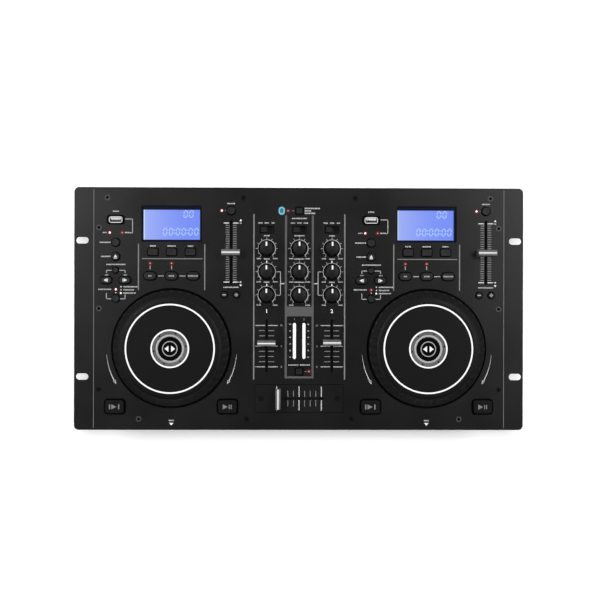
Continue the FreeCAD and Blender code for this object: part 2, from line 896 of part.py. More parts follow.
def feet():
    solids = []
    for side_x in (-1, 1):
        for side_y in (-1, 1):
            x = side_x * (housing_x - foot_inset_x)
            y = side_y * (housing_y - foot_inset_y)
            profile = [
                (0, foot_recess_depth),
                (foot_recess_radius, foot_recess_depth),
                (foot_recess_radius, 0),
                (foot_radius - foot_taper, 0),
                (foot_radius, foot_height),
                (0, foot_height),
            ]
            solids.append(turned(x, y, profile))
    return solids


# Face panel

def face_panel():
    panel = plate(0, 0, panel_width, panel_depth, panel_corner, panel_under, panel_top)
    panel = softened(panel, panel_top, panel_chamfer)
    low = panel_under - 1
    high = panel_top + 1
    cuts = []
    for side_x in (-1, 1):
        x = side_x * (housing_x + ear_groove_offset)
        groove_length = panel_depth - 2 * ear_groove_end
        cuts.append(block(x, 0, ear_groove_width, groove_length, panel_top - ear_groove_depth, high))
        for side_y in (-1, 1):
            x = side_x * (panel_width / 2 - rack_slot_inset)
            y = side_y * rack_slot_spacing / 2
            cuts.append(plate(x, y, rack_slot_length, rack_slot_width, rack_slot_width / 2, low, high))
    for x, y in screw_places():
        cuts.append(countersink(x, y, screw_length))
    for _, middle in deck_middles:
        cuts.append(disc(middle, jog_y, jog_radius + jog_hole_gap, low, high))
        cuts.append(plate(middle, window_y, window_width, window_depth, window_corner, low, high))
        usb_hole = (usb_bezel_width - 2 * usb_bezel_lip, usb_bezel_depth - 2 * usb_bezel_lip)
        cuts.append(block(middle + usb_x, usb_y, usb_hole[0], usb_hole[1], low, high))
        for x, y in deck_lamp_places:
            cuts.append(disc(middle + x, y, lamp_radius + inlay_gap, low, high))
        for _, caps, gap, _, _ in deck_keys:
            cuts += [key_hole(cap, gap) for cap in moved_caps(caps, middle)]
        x, y, _ = pitch_fader
        cuts.append(placed(fader_slot(pitch_slot_length), middle + x, y))
    for _, caps, gap, _, _ in mixer_keys:
        cuts += [key_hole(cap, gap) for cap in caps]
    for x, y in mixer_lamp_places:
        cuts.append(disc(x, y, lamp_radius + inlay_gap, low, high))
    oval = oval_lamp_width + 2 * inlay_gap
    cuts.append(plate(oval_lamp_x, oval_lamp_y, oval, oval_lamp_depth + 2 * inlay_gap, oval / 2, low, high))
    bar = meter_width + 2 * inlay_gap
    for x in (-meter_x, meter_x):
        cuts.append(plate(x, meter_y, bar, meter_length + 2 * inlay_gap, bar / 2, low, high))
    for _, x, y in knob_places:
        cuts.append(disc(x, y, shaft_radius + shaft_hole_gap, low, high))
    for _, x in switch_places:
        cuts.append(block(x, switch_y, switch_slot_width, switch_slot_depth, low, high))
    for _, x, y, _ in channel_faders:
        cuts.append(placed(fader_slot(channel_slot_length), x, y))
    x, y, _ = cross_fader
    pocket_width = cross_plate_width + 2 * inlay_gap
    pocket_depth = cross_plate_depth + 2 * inlay_gap
    pocket_floor = panel_top - cross_plate_thickness
    cuts.append(plate(x, y, pocket_width, pocket_depth, cross_plate_corner + inlay_gap, pocket_floor, high))
    cuts.append(block(x, y, cross_opening_width, cross_opening_depth, low, high))
    return panel.cut(cuts + cross_countersinks())


def cross_countersinks():
    x, y, _ = cross_fader
    return [countersink(x + side * cross_screw_x, y, cross_screw_length) for side in (-1, 1)]


def crossfader_plate():
    x, y, _ = cross_fader
    low = panel_top - cross_plate_thickness
    cover = plate(x, y, cross_plate_width, cross_plate_depth, cross_plate_corner, low, panel_top)
    return cover.cut([placed(fader_slot(cross_slot_length), x, y, 90)] + cross_countersinks())


def all_screws():
    x, y, _ = cross_fader
    solids = [screw(place_x, place_y, screw_length) for place_x, place_y in screw_places()]
    for side in (-1, 1):
        solids.append(screw(x + side * cross_screw_x, y, cross_screw_length))
    return solids


# Boards and what stands on them

def spacer(x, y):
    return disc(x, y, spacer_radius, board_top, panel_under)


def control_boards():
    # Key boards hung from the panel on spacers, with every switch, fader body and potentiometer.
    solids = []
    board_low = board_top - board_thickness
    depth = board_back - board_front
    middle_y = (board_back + board_front) / 2
    hole_radius = jog_dish_radius + board_jog_gap
    for _, middle in deck_middles:
        board = block(middle, middle_y, board_width, depth, board_low, board_top)
        solids.append(board.cut(disc(middle, jog_y, hole_radius, board_low - 1, board_top + 1)))
        solids += [spacer(middle + x, y) for x, y in deck_spacer_places]
        for _, caps, _, _, _ in deck_keys:
            solids += [tact_switch(cap[0], cap[1]) for cap in moved_caps(caps, middle)]
        x, y, _ = pitch_fader
        solids.append(placed(fader_body(pitch_slot_length, fader_top), middle + x, y))
    solids.append(block(0, middle_y, mixer_board_width, depth, board_low, board_top))
    solids += [spacer(x, y) for x, y in mixer_spacer_places]
    for _, caps, _, _, _ in mixer_keys:
        solids += [tact_switch(cap[0], cap[1]) for cap in caps]
    solids += [potentiometer(x, y) for _, x, y in knob_places]
    solids += [switch_case(x, switch_y) for _, x in switch_places]
    for _, x, y, _ in channel_faders:
        solids.append(placed(fader_body(channel_slot_length, fader_top), x, y))
    x, y, _ = cross_fader
    solids.append(placed(fader_body(cross_slot_length, cross_top), x, y, 90))
    return solids


def display_module(middle):
    # Lit screen and the dark frame that joins it to the window in the panel.
    screen_top = panel_top - screen_drop
    screen = block(
        middle,
        window_y,
        screen_width + 2 * screen_margin,
        screen_depth + 2 * screen_margin,
        board_top,
        screen_top,
    )
    frame_width = window_width + 2 * screen_margin
    frame_depth = window_depth + 2 * screen_margin
    frame = block(middle, window_y, frame_width, frame_depth, screen_top, panel_under)
    frame = frame.cut(block(middle, window_y, screen_width, screen_depth, screen_top - 1, panel_under + 1))
    return [screen, frame]


def usb_socket(middle):
    x = middle + usb_x
    bezel_top = panel_top + usb_bezel_rise
    hole_width = usb_bezel_width - 2 * usb_bezel_lip - 2 * inlay_gap
    hole_depth = usb_bezel_depth - 2 * usb_bezel_lip - 2 * inlay_gap
    bezel = plate(x, usb_y, usb_bezel_width, usb_bezel_depth, 1.5, panel_top, bezel_top)
    bezel = bezel.fuse(block(x, usb_y, hole_width, hole_depth, panel_under, panel_top)).removeSplitter()
    shell_width = usb_mouth_width + 2 * usb_wall
    shell_depth = usb_mouth_depth + 2 * usb_wall
    bezel = bezel.cut(block(x, usb_y, shell_width, shell_depth, panel_under - 1, bezel_top + 1))
    shell_low = bezel_top - usb_length
    lip_top = bezel_top + usb_lip_thickness
    shell = block(x, usb_y, shell_width, shell_depth, shell_low, bezel_top)
    lip = plate(x, usb_y, usb_lip_width, usb_lip_depth, 0.8, bezel_top, lip_top)
    mouth_floor = shell_low + usb_wall
    mouth = block(x, usb_y, usb_mouth_width, usb_mouth_depth, mouth_floor, lip_top + 1)
    shell = shell.fuse(lip).removeSplitter().cut(mouth)
    tongue_y = usb_y + usb_tongue_offset
    tongue_top = lip_top - usb_tongue_drop
    tongue = block(x, tongue_y, usb_tongue_width, usb_tongue_thickness, mouth_floor, tongue_top)
    return [bezel, shell, tongue]


def lamp(x, y):
    high = panel_top + lamp_rise
    return softened(disc(x, y, lamp_radius, board_top, high), high, lamp_rise)


def indicator_lamps():
    solids = []
    for _, middle in deck_middles:
        solids += [lamp(middle + x, y) for x, y in deck_lamp_places]
    solids += [lamp(x, y) for x, y in mixer_lamp_places]
    high = panel_top + lamp_rise / 2
    corner = oval_lamp_width / 2
    solids.append(plate(oval_lamp_x, oval_lamp_y, oval_lamp_width, oval_lamp_depth, corner, board_top, high))
    for x in (-meter_x, meter_x):
        solids.append(plate(x, meter_y, meter_width, meter_length, meter_width / 2, board_top, high))
    return solids


# Disc drives

def disc_drive(middle):
    # Sheet case with the loading slot, the roller above it and the spindle motor on its floor.
    low = drive_under
    high = drive_under + drive_height
    middle_y = drive_front + drive_depth / 2
    case = block(middle, middle_y, drive_width, drive_depth, low, high)
    room_width = drive_width - 2 * drive_sheet
    room_depth = drive_depth - 2 * drive_sheet
    case = case.cut(block(middle, middle_y, room_width, room_depth, low + drive_sheet, high - drive_sheet))
    slot_low = slot_z - slot_height / 2
    slot_high = slot_z + slot_height / 2
    case = case.cut(block(middle, drive_front, slot_width, 4 * drive_sheet, slot_low, slot_high))
    roller_z = slot_high + roller_radius + inlay_gap
    room_left = middle - room_width / 2
    roller_y = drive_front + roller_back
    roller = Part.makeCylinder(roller_radius, room_width, vec(room_left, roller_y, roller_z), vec(1, 0, 0))
    motor_low = low + drive_sheet
    spindle_y = drive_front + turntable_back
    motor = disc(middle, spindle_y, motor_radius, motor_low, motor_low + motor_height)
    shaft_hole_low = motor_low + motor_height - motor_shaft_length - seat_gap
    shaft_hole = disc(middle, spindle_y, motor_shaft_radius + running_gap, shaft_hole_low, slot_z)
    return [case, roller, motor.cut(shaft_hole)]


def spindle(middle):
    # Turntable with the tapered hub that centres a disc, on the motor's shaft, lowered below the slot.
    low = drive_under + drive_sheet + motor_height + seat_gap
    rim = low + turntable_thickness
    profile = [
        (0, low - motor_shaft_length),
        (motor_shaft_radius, low - motor_shaft_length),
        (motor_shaft_radius, low),
        (turntable_radius, low),
        (turntable_radius, rim),
        (turntable_hub_radius, rim),
        (turntable_hub_radius - turntable_hub_taper, rim + turntable_hub_height),
        (0, rim + turntable_hub_height),
    ]
    return [turned(middle, drive_front + turntable_back, profile)]


# Power supply

def transformer(top):
    # Iron core with the coil round its middle leg.
    width, depth, height = transformer_size
    x = supply_x - supply_width / 2 + width / 2 + transformer_inset
    y = supply_y - supply_depth / 2 + depth / 2 + transformer_inset
    core = block(x, y, width, depth * core_depth_share, top, top + height)
    coil_top = top + height * coil_height_share
    coil = plate(x, y, width * coil_width_share, depth, coil_corner, top, coil_top)
    return core.fuse(coil).removeSplitter()


def capacitor(index, top):
    x = supply_x + supply_width / 2 - capacitor_inset
    row = supply_y - supply_depth / 2 + capacitor_inset
    y = row + index * (2 * capacitor_radius + capacitor_gap)
    return disc(x, y, capacitor_radius, top, top + capacitor_height)


def heat_sink(top):
    width, depth, height = heat_sink_size
    y = supply_y + supply_depth / 2 - depth / 2 - heat_sink_inset
    sink = block(supply_x, y, width, depth, top, top + height)
    pitch = width / heat_sink_fins
    gap = pitch * heat_sink_gap_share
    low = top + heat_sink_base
    slots = []
    for index in range(heat_sink_fins - 1):
        x = supply_x - width / 2 + pitch * (index + 1)
        slots.append(block(x, y + heat_sink_back, gap, depth, low, top + height + 1))
    return sink.cut(slots)


def power_supply():
    board_low = floor_top + supply_standoff
    top = board_low + board_thickness
    board = block(supply_x, supply_y, supply_width, supply_depth, board_low, top)
    return [board, transformer(top), heat_sink(top), capacitor(0, top), capacitor(1, top)]


# Connectors

def rocker_case_size():
    return (rocker_frame[0] - 2 * rocker_rim, rocker_frame[1] - 2 * rocker_rim)


def phono_socket(x, z):
    # Barrel through the back wall, with the hole for the plug's pin and its case behind the wall.
    inside = housing_y - sheet
    width, depth = phono_case
    end = housing_y + phono_length
    barrel = along_y(x, z, phono_radius, inside - 1, end)
    half = (phono_spacing - phono_case_gap) / 2
    case = block(x, inside - depth / 2, width, depth, z - half, z + half)
    hole = along_y(x, z, phono_pin_radius, end - phono_pin_depth, end + 1)
    return barrel.fuse(case).cut(hole)


def ground_post():
    inside = housing_y - sheet
    end = housing_y + ground_length
    z = rear_row_height
    post = along_y(ground_x, z, ground_post_radius, inside - ground_post_back, end)
    nut = along_y(ground_x, z, ground_nut_radius, housing_y, end - ground_thread_end)
    lug = along_y(ground_x, z, ground_nut_radius, inside - ground_lug_thickness, inside)
    return post.fuse([nut, lug]).removeSplitter()


def upright_block(x, size, front, back):
    # Block centred on the row of rear connectors, its size given as width and height.
    z = rear_row_height
    return block(x, (front + back) / 2, size[0], back - front, z - size[1] / 2, z + size[1] / 2)


def power_inlet():
    # Flanged inlet with three flat pins in its mouth.
    face = housing_y + inlet_flange_thickness
    flange = upright_block(inlet_x, inlet_flange, housing_y, face)
    body = upright_block(inlet_x, inlet_body, housing_y - inlet_depth, housing_y)
    mouth_end = face - inlet_mouth_depth
    mouth = upright_block(inlet_x, inlet_mouth, mouth_end, face + 1)
    solids = [flange.fuse(body).removeSplitter().cut(mouth)]
    for side, raised in ((-1, 0), (1, 0), (0, inlet_pin[1])):
        x = inlet_x + side * inlet_pin_spacing / 2
        pin = upright_block(x, inlet_pin, mouth_end, mouth_end + inlet_pin_length)
        pin.translate(vec(0, 0, raised - inlet_pin_drop))
        solids.append(pin)
    return solids


def rocker_case():
    # Frame and case of the power switch, with the pin its rocker turns on.
    size = rocker_case_size()
    frame = upright_block(rocker_x, rocker_frame, housing_y, housing_y + rocker_frame_thickness)
    case = upright_block(rocker_x, size, housing_y - rocker_case_depth, housing_y)
    well_size = (rocker_size[0] + 2 * rocker_gap, rocker_size[1] + 2 * rocker_gap)
    well = upright_block(rocker_x, well_size, housing_y - rocker_thickness, housing_y + rocker_well_stand)
    start = rocker_pivot() - vec(size[0] / 2, 0, 0)
    pin = Part.makeCylinder(rocker_pin_radius, size[0], start, vec(1, 0, 0))
    return frame.fuse(case).removeSplitter().cut(well).fuse(pin).removeSplitter()


def rear_connectors():
    solids = [phono_socket(x, z) for x, z in rear_phono_places()]
    return solids + [ground_post()] + power_inlet() + [rocker_case()]


def rocker_pivot():
    return vec(rocker_x, housing_y - rocker_thickness / 2, rear_row_height)


def power_switch():
    # Rocker with two faces meeting in a shallow V, on a cross pin; its lower end rests pressed in.
    width, height = rocker_size
    pivot = rocker_pivot()
    rise = height / 2 * math.tan(math.radians(rocker_angle))
    left = rocker_x - width / 2
    front = pivot.y + rocker_thickness / 2 + rocker_face_stand
    shoulder = pivot.y - rocker_face_stand
    points = [
        vec(left, front, pivot.z),
        vec(left, front + rise, pivot.z + height / 2),
        vec(left, shoulder, pivot.z + height / 2 - rocker_edge),
        vec(left, pivot.y - rocker_back_depth, pivot.z),
        vec(left, shoulder, pivot.z - height / 2 + rocker_edge),
        vec(left, front + rise, pivot.z - height / 2),
    ]
    body = Part.Face(Part.makePolygon(points + points[:1])).extrude(vec(width, 0, 0))
    start = pivot - vec(width, 0, 0)
    bore = Part.makeCylinder(rocker_pin_radius + running_gap, 2 * width, start, vec(1, 0, 0))
    body = body.cut(bore)
    body.rotate(pivot, vec(1, 0, 0), rocker_angle / 2)
    return [body]


def front_sockets():
    solids = []
    width, height = jack_case
    outside = -housing_y
    inside = outside + sheet
    for x in (-jack_x, jack_x):
        face = outside - jack_nut_thickness
        back = face + jack_bore_length + jack_case_back
        nose = along_y(x, jack_rise, jack_nose_radius, face, inside)
        nut = along_y(x, jack_rise, jack_nut_radius, face + jack_nose_stand, outside)
        case_low = jack_rise - height / 2
        case = block(x, (inside + back) / 2, width, back - inside, case_low, case_low + height)
        bore = along_y(x, jack_rise, jack_bore_radius, face - 1, face + jack_bore_length)
        solids.append(nose.fuse([nut, case]).removeSplitter().cut(bore))
    return solids


# Assembly

def save(name, solids):
    Part.makeCompound(solids).exportStep(os.path.join("parts", name + ".step"))


def build():
    os.makedirs("parts", exist_ok=True)
    save("face_panel", [face_panel()])
    save("chassis", housing())
    save("crossfader_plate", [crossfader_plate()])
    save("rubber_feet", feet())
    save("panel_screws", all_screws())
    save("control_board", control_boards())
    save("indicator_lamps", indicator_lamps())
    save("power_supply", power_supply())
    save("rear_connectors", rear_connectors())
    save("front_sockets", front_sockets())
    save("power_switch", power_switch())
    displays = []
    sockets = []
    drives = []
    dishes = []
    for name, middle in deck_middles:
        displays += display_module(middle)
        sockets += usb_socket(middle)
        drives += disc_drive(middle)
        dishes.append(jog_base(middle, jog_y))
        save(name + "_spindle", spindle(middle))
        save(name + "_jog_wheel", jog_wheel(middle, jog_y))
        for key, caps, gap, rise, travel in deck_keys:
            keys = [key_cap(cap, gap, rise, travel) for cap in moved_caps(caps, middle)]
            save(name + "_" + key, keys)
        x, y, rest = pitch_fader
        fader = fader_cap(pitch_cap, lever_low)
        save(name + "_pitch_slider", [placed(solid, middle + x, y + rest) for solid in fader])
    save("display_modules", displays)
    save("usb_sockets", sockets)
    save("disc_drives", drives)
    save("jog_bases", dishes)
    for key, caps, gap, rise, travel in mixer_keys:
        save(key, [key_cap(cap, gap, rise, travel) for cap in caps])
    for name, x, y in knob_places:
        save(name, knob(x, y))
    for name, x in switch_places:
        save(name, [switch_handle(x, switch_y)])
    for name, x, y, rest in channel_faders:
        fader = fader_cap(channel_cap, lever_low)
        save(name, [placed(solid, x, y + rest) for solid in fader])
    x, y, rest = cross_fader
    fader = fader_cap(cross_cap, cross_lever_low)
    save("crossfader", [placed(solid, x + rest, y, 90) for solid in fader])


build()
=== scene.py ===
import bpy
import numpy as np
from math import atan2, cos, hypot, pi, radians, sin
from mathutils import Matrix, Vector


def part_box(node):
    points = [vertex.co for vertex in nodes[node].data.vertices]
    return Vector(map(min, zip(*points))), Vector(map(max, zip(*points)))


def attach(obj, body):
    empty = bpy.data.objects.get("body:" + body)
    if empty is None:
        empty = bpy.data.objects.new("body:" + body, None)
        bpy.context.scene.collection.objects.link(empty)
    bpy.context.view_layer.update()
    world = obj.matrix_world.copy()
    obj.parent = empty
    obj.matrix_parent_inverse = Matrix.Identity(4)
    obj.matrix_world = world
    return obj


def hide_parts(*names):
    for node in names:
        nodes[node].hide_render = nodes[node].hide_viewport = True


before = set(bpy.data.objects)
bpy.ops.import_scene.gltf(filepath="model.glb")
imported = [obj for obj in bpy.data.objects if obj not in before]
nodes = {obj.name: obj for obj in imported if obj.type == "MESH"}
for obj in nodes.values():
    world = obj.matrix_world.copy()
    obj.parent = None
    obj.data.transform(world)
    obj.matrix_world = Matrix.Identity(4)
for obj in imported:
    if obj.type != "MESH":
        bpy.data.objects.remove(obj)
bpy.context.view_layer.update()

mm = 0.001  # every size below is in millimetres; a mesh is scaled once, when it is made


def nodeBox(name):
    # low and high corner of a CAD node, in millimetres
    return [np.array(corner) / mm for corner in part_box(name)]


panelTop = nodeBox("face_panel")[1][2]
panelUnder = nodeBox("jog_bases")[1][2]  # the dishes hang from the panel's underside
boardTop = panelUnder - 10.0  # top of the key boards that hang under the panel
deckMiddle = {}
for side in ("left", "right"):
    wheelLow, wheelHigh = nodeBox(side + "_jog_wheel")
    deckMiddle[side] = (wheelLow[0] + wheelHigh[0]) / 2
jogY = (wheelLow[1] + wheelHigh[1]) / 2
jogTop = wheelHigh[2]
jogRadius = (wheelHigh[0] - wheelLow[0]) / 2
print("frame loaded:", len(nodes), "nodes")


# camera, floor and light
view = {
    "target": (0.8, 9.5),  # point of the face panel in the middle of the picture
    "distance": 950.0,
    "lens": 53.06,
    "lean": radians(0.68),  # the camera stands this much to the left of straight above
    "roll": radians(0.13),
}


def placeCamera():
    data = bpy.data.cameras.new("camera")
    data.lens = view["lens"]
    data.sensor_width = 36.0
    data.clip_start = 0.01
    camera = bpy.data.objects.new("camera", data)
    x, y = view["target"]
    lean = view["lean"]
    x -= view["distance"] * sin(lean)
    z = panelTop + view["distance"] * cos(lean)
    camera.location = (x * mm, y * mm, z * mm)
    camera.rotation_euler = (0, -lean, view["roll"])
    bpy.context.scene.collection.objects.link(camera)
    bpy.context.scene.camera = camera


def linear(red, green, blue, alpha=1.0):
    # screen colour 0-255 to scene-linear: ((c + 0.055) / 1.055) ^ 2.4, or c / 12.92 near black
    value = np.array([red, green, blue]) / 255.0
    low = value / 12.92
    high = ((value + 0.055) / 1.055) ** 2.4
    return (*np.where(value <= 0.04045, low, high), alpha)


def gray(level):
    return linear(level, level, level)


studio = {
    "floorSize": 3.0,
    "floorColor": gray(238),
    "floorRoughness": 0.9,
    "floorSpecular": 0.1,
    "floorGlow": 0.29,  # what the floor adds for the camera, so that it reads white and keeps its shadow
    "worldLevel": 0.06,
    "lamps": (
        # name, place in metres, size, watts, whether it shows as a highlight
        ("overheadLamp", (0.0, 0.14, 1.6), (0.36, 0.36), 18.0, False),
        ("leftLamp", (-0.92, 0.4, 1.4), (1.1, 0.4), 8.5, True),
        ("rightLamp", (0.92, 0.4, 1.4), (1.1, 0.4), 8.5, True),
    ),
}


def newMaterial(name):
    material = bpy.data.materials.new(name)
    material.use_nodes = True
    tree = material.node_tree
    return material, tree, tree.nodes["Principled BSDF"]


def newNode(tree, kind):
    return tree.nodes.new("ShaderNode" + kind)


def mathNode(tree, operation, *values):
    # each value is a number or another node's output
    node = newNode(tree, "Math")
    node.operation = operation
    for value, entry in zip(values, node.inputs):
        if isinstance(value, float):
            entry.default_value = value
        else:
            tree.links.new(value, entry)
    return node.outputs[0]


def makeFloor():
    size = studio["floorSize"]
    mesh = bpy.data.meshes.new("floor")
    corners = [(-size, -size, 0), (size, -size, 0), (size, size, 0), (-size, size, 0)]
    mesh.from_pydata(corners, [], [(0, 1, 2, 3)])
    floor = bpy.data.objects.new("floor", mesh)
    bpy.context.scene.collection.objects.link(floor)
    material, tree, shader = newMaterial("floorPaint")
    shader.inputs["Base Color"].default_value = studio["floorColor"]
    shader.inputs["Roughness"].default_value = studio["floorRoughness"]
    shader.inputs["Specular IOR Level"].default_value = studio["floorSpecular"]
    path = newNode(tree, "LightPath").outputs
    seen = mathNode(tree, "MAXIMUM", path["Is Camera Ray"], path["Is Glossy Ray"])
    seen = mathNode(tree, "MAXIMUM", seen, path["Is Transmission Ray"])
    glow = newNode(tree, "Emission")
    tree.links.new(mathNode(tree, "MULTIPLY", seen, studio["floorGlow"]), glow.inputs["Strength"])
    both = newNode(tree, "AddShader")
    tree.links.new(shader.outputs[0], both.inputs[0])
    tree.links.new(glow.outputs[0], both.inputs[1])
    tree.links.new(both.outputs[0], tree.nodes["Material Output"].inputs["Surface"])
    mesh.materials.append(material)


def hangLamps():
    # each lamp faces the middle of the table
    for name, place, size, watts, highlight in studio["lamps"]:
        data = bpy.data.lights.new(name, "AREA")
        data.shape = "RECTANGLE"
        data.size, data.size_y = size
        data.energy = watts
        lamp = bpy.data.objects.new(name, data)
        lamp.location = place
        x, y, z = place
        lamp.rotation_euler = (atan2(hypot(x, y), z), 0, atan2(y, x) + pi / 2)
        lamp.visible_glossy = highlight
        bpy.context.scene.collection.objects.link(lamp)


def makeAir():
    # white where the camera looks past the floor, and a faint light from all round
    world = bpy.data.worlds.new("studioAir")
    bpy.context.scene.world = world
    world.use_nodes = True
    tree = world.node_tree
    air = tree.nodes["Background"]
    air.inputs["Strength"].default_value = studio["worldLevel"]
    white = newNode(tree, "Background")
    mix = newNode(tree, "MixShader")
    tree.links.new(newNode(tree, "LightPath").outputs["Is Camera Ray"], mix.inputs[0])
    tree.links.new(air.outputs[0], mix.inputs[1])
    tree.links.new(white.outputs[0], mix.inputs[2])
    tree.links.new(mix.outputs[0], tree.nodes["World Output"].inputs["Surface"])
    for node in (air, white):
        node.inputs["Color"].default_value = (1, 1, 1, 1)


placeCamera()
makeFloor()
hangLamps()
makeAir()
bpy.context.scene.view_settings.view_transform = "Standard"
print("camera and studio placed")


# finishes
def objectPoint(tree, scale=(1, 1, 1)):
    # Object coordinates in metres, stretched by scale
    place = newNode(tree, "TexCoord")
    mapping = newNode(tree, "Mapping")
    mapping.inputs["Scale"].default_value = scale
    tree.links.new(place.outputs["Object"], mapping.inputs["Vector"])
    return mapping.outputs["Vector"]


def objectAxes(tree):
    apart = newNode(tree, "SeparateXYZ")
    tree.links.new(objectPoint(tree), apart.inputs[0])
    return apart.outputs


def noiseNode(tree, point, size, detail=3.0, roughness=0.55):
    # cloudy pattern whose blobs are about size millimetres across
    noise = newNode(tree, "TexNoise")
    noise.inputs["Scale"].default_value = 1.0 / (size * mm)
    noise.inputs["Detail"].default_value = detail
    noise.inputs["Roughness"].default_value = roughness
    tree.links.new(point, noise.inputs["Vector"])
    return noise.outputs["Fac"]


def rangeNode(tree, value, low, high, fromLow=0.3, fromHigh=0.7):
    # value from fromLow to fromHigh becomes low to high, and is held there outside
    ramp = newNode(tree, "MapRange")
    ramp.inputs["From Min"].default_value = fromLow
    ramp.inputs["From Max"].default_value = fromHigh
    ramp.inputs["To Min"].default_value = low
    ramp.inputs["To Max"].default_value = high
    tree.links.new(value, ramp.inputs["Value"])
    return ramp.outputs["Result"]


def mixColor(tree, factor, first, second):
    mix = newNode(tree, "Mix")
    mix.data_type = "RGBA"
    tree.links.new(factor, mix.inputs["Factor"])
    mix.inputs["A"].default_value = first
    mix.inputs["B"].default_value = second
    return mix.outputs["Result"]


def shaded(color, share):
    # the colour made lighter or darker by share, and opaque
    return tuple(min(1.0, channel * share) for channel in color[:3]) + (1.0,)


def bumpNode(tree, shader, height, depth, strength):
    # relief depth millimetres deep
    bump = newNode(tree, "Bump")
    bump.inputs["Strength"].default_value = strength
    bump.inputs["Distance"].default_value = depth * mm
    tree.links.new(height, bump.inputs["Height"])
    tree.links.new(bump.outputs["Normal"], shader.inputs["Normal"])


slowPatch = 60.0  # size of the patches over which a moulded surface's gloss drifts
slowSpread = 0.06  # and by how much
scratches = {
    "width": 1.6,
    "dark": 0.8,  # share of the colour left in them
    "gloss": (-0.08, 0.1),  # what they add to the roughness, least and most
    "depth": 0.01,
}
spunRings = {"pitch": 0.35, "dark": 0.7, "depth": 0.01}
printedInk = {"mottle": 1.2, "thin": 0.93, "roughness": 0.55, "specular": 0.3}
lensCloud = {"size": 9.0, "dark": 0.88}


def grainedFinish(name, color, roughness, grain, depth, drift=0.2, specular=0.5, metallic=0.0):
    # moulded or coated surface: fine grain in its relief and colour, slow drift in its gloss
    material, tree, shader = newMaterial(name)
    point = objectPoint(tree)
    slow = noiseNode(tree, point, slowPatch, 2.0)
    fine = noiseNode(tree, point, grain)
    color = mixColor(tree, fine, shaded(color, 1 - drift), shaded(color, 1 + drift))
    gloss = rangeNode(tree, slow, roughness - slowSpread, roughness + slowSpread)
    tree.links.new(color, shader.inputs["Base Color"])
    tree.links.new(gloss, shader.inputs["Roughness"])
    shader.inputs["Metallic"].default_value = metallic
    shader.inputs["Specular IOR Level"].default_value = specular
    bumpNode(tree, shader, fine, depth, 0.6)
    return material


def brushedFinish(name, color, roughness, stretch):
    # bare or plated metal with fine parallel scratches; stretch is long across the scratches
    material, tree, shader = newMaterial(name)
    lines = noiseNode(tree, objectPoint(tree, stretch), scratches["width"], 4.0, 0.7)
    color = mixColor(tree, lines, shaded(color, scratches["dark"]), color)
    least, most = scratches["gloss"]
    gloss = rangeNode(tree, lines, roughness + least, roughness + most)
    tree.links.new(color, shader.inputs["Base Color"])
    tree.links.new(gloss, shader.inputs["Roughness"])
    shader.inputs["Metallic"].default_value = 1.0
    bumpNode(tree, shader, lines, scratches["depth"], 0.5)
    return material


def spunFinish(name, color, roughness, metallic):
    # turned metal: rings about the nearer wheel's axis, as the sine of the distance from it
    material, tree, shader = newMaterial(name)
    axes = objectAxes(tree)
    join = newNode(tree, "CombineXYZ")
    tree.links.new(mathNode(tree, "ABSOLUTE", axes["X"]), join.inputs["X"])
    tree.links.new(axes["Y"], join.inputs["Y"])
    reach = newNode(tree, "VectorMath")
    reach.operation = "DISTANCE"
    tree.links.new(join.outputs[0], reach.inputs[0])
    reach.inputs[1].default_value = (deckMiddle["right"] * mm, jogY * mm, 0)
    turns = mathNode(tree, "MULTIPLY", reach.outputs["Value"], 2 * pi / (spunRings["pitch"] * mm))
    wave = mathNode(tree, "SINE", turns)
    shade = rangeNode(tree, wave, 0.0, 1.0, -1.0, 1.0)
    color = mixColor(tree, shade, shaded(color, spunRings["dark"]), color)
    tree.links.new(color, shader.inputs["Base Color"])
    shader.inputs["Metallic"].default_value = metallic
    shader.inputs["Roughness"].default_value = roughness
    bumpNode(tree, shader, wave, spunRings["depth"], 0.4)
    return material


def inkFinish(name, level, tint=(1, 1, 1)):
    # screen-printed ink: nearly even, with a faint mottle where the ink is thin
    material, tree, shader = newMaterial(name)
    mottle = noiseNode(tree, objectPoint(tree), printedInk["mottle"], 2.0)
    full = linear(*(level * channel for channel in tint))
    thin = linear(*(level * printedInk["thin"] * channel for channel in tint))
    tree.links.new(mixColor(tree, mottle, thin, full), shader.inputs["Base Color"])
    shader.inputs["Roughness"].default_value = printedInk["roughness"]
    shader.inputs["Specular IOR Level"].default_value = printedInk["specular"]
    return material


def glowFinish(name, color, strength, base, roughness=0.25):
    # lit lens or light guide, and painted glow on the panel round a lamp: its own light, slightly cloudy,
    # under a glossy skin
    material, tree, shader = newMaterial(name)
    cloud = noiseNode(tree, objectPoint(tree), lensCloud["size"], 2.0)
    color = mixColor(tree, cloud, shaded(color, lensCloud["dark"]), color)
    tree.links.new(color, shader.inputs["Emission Color"])
    shader.inputs["Emission Strength"].default_value = strength
    shader.inputs["Base Color"].default_value = base
    shader.inputs["Roughness"].default_value = roughness
    return material


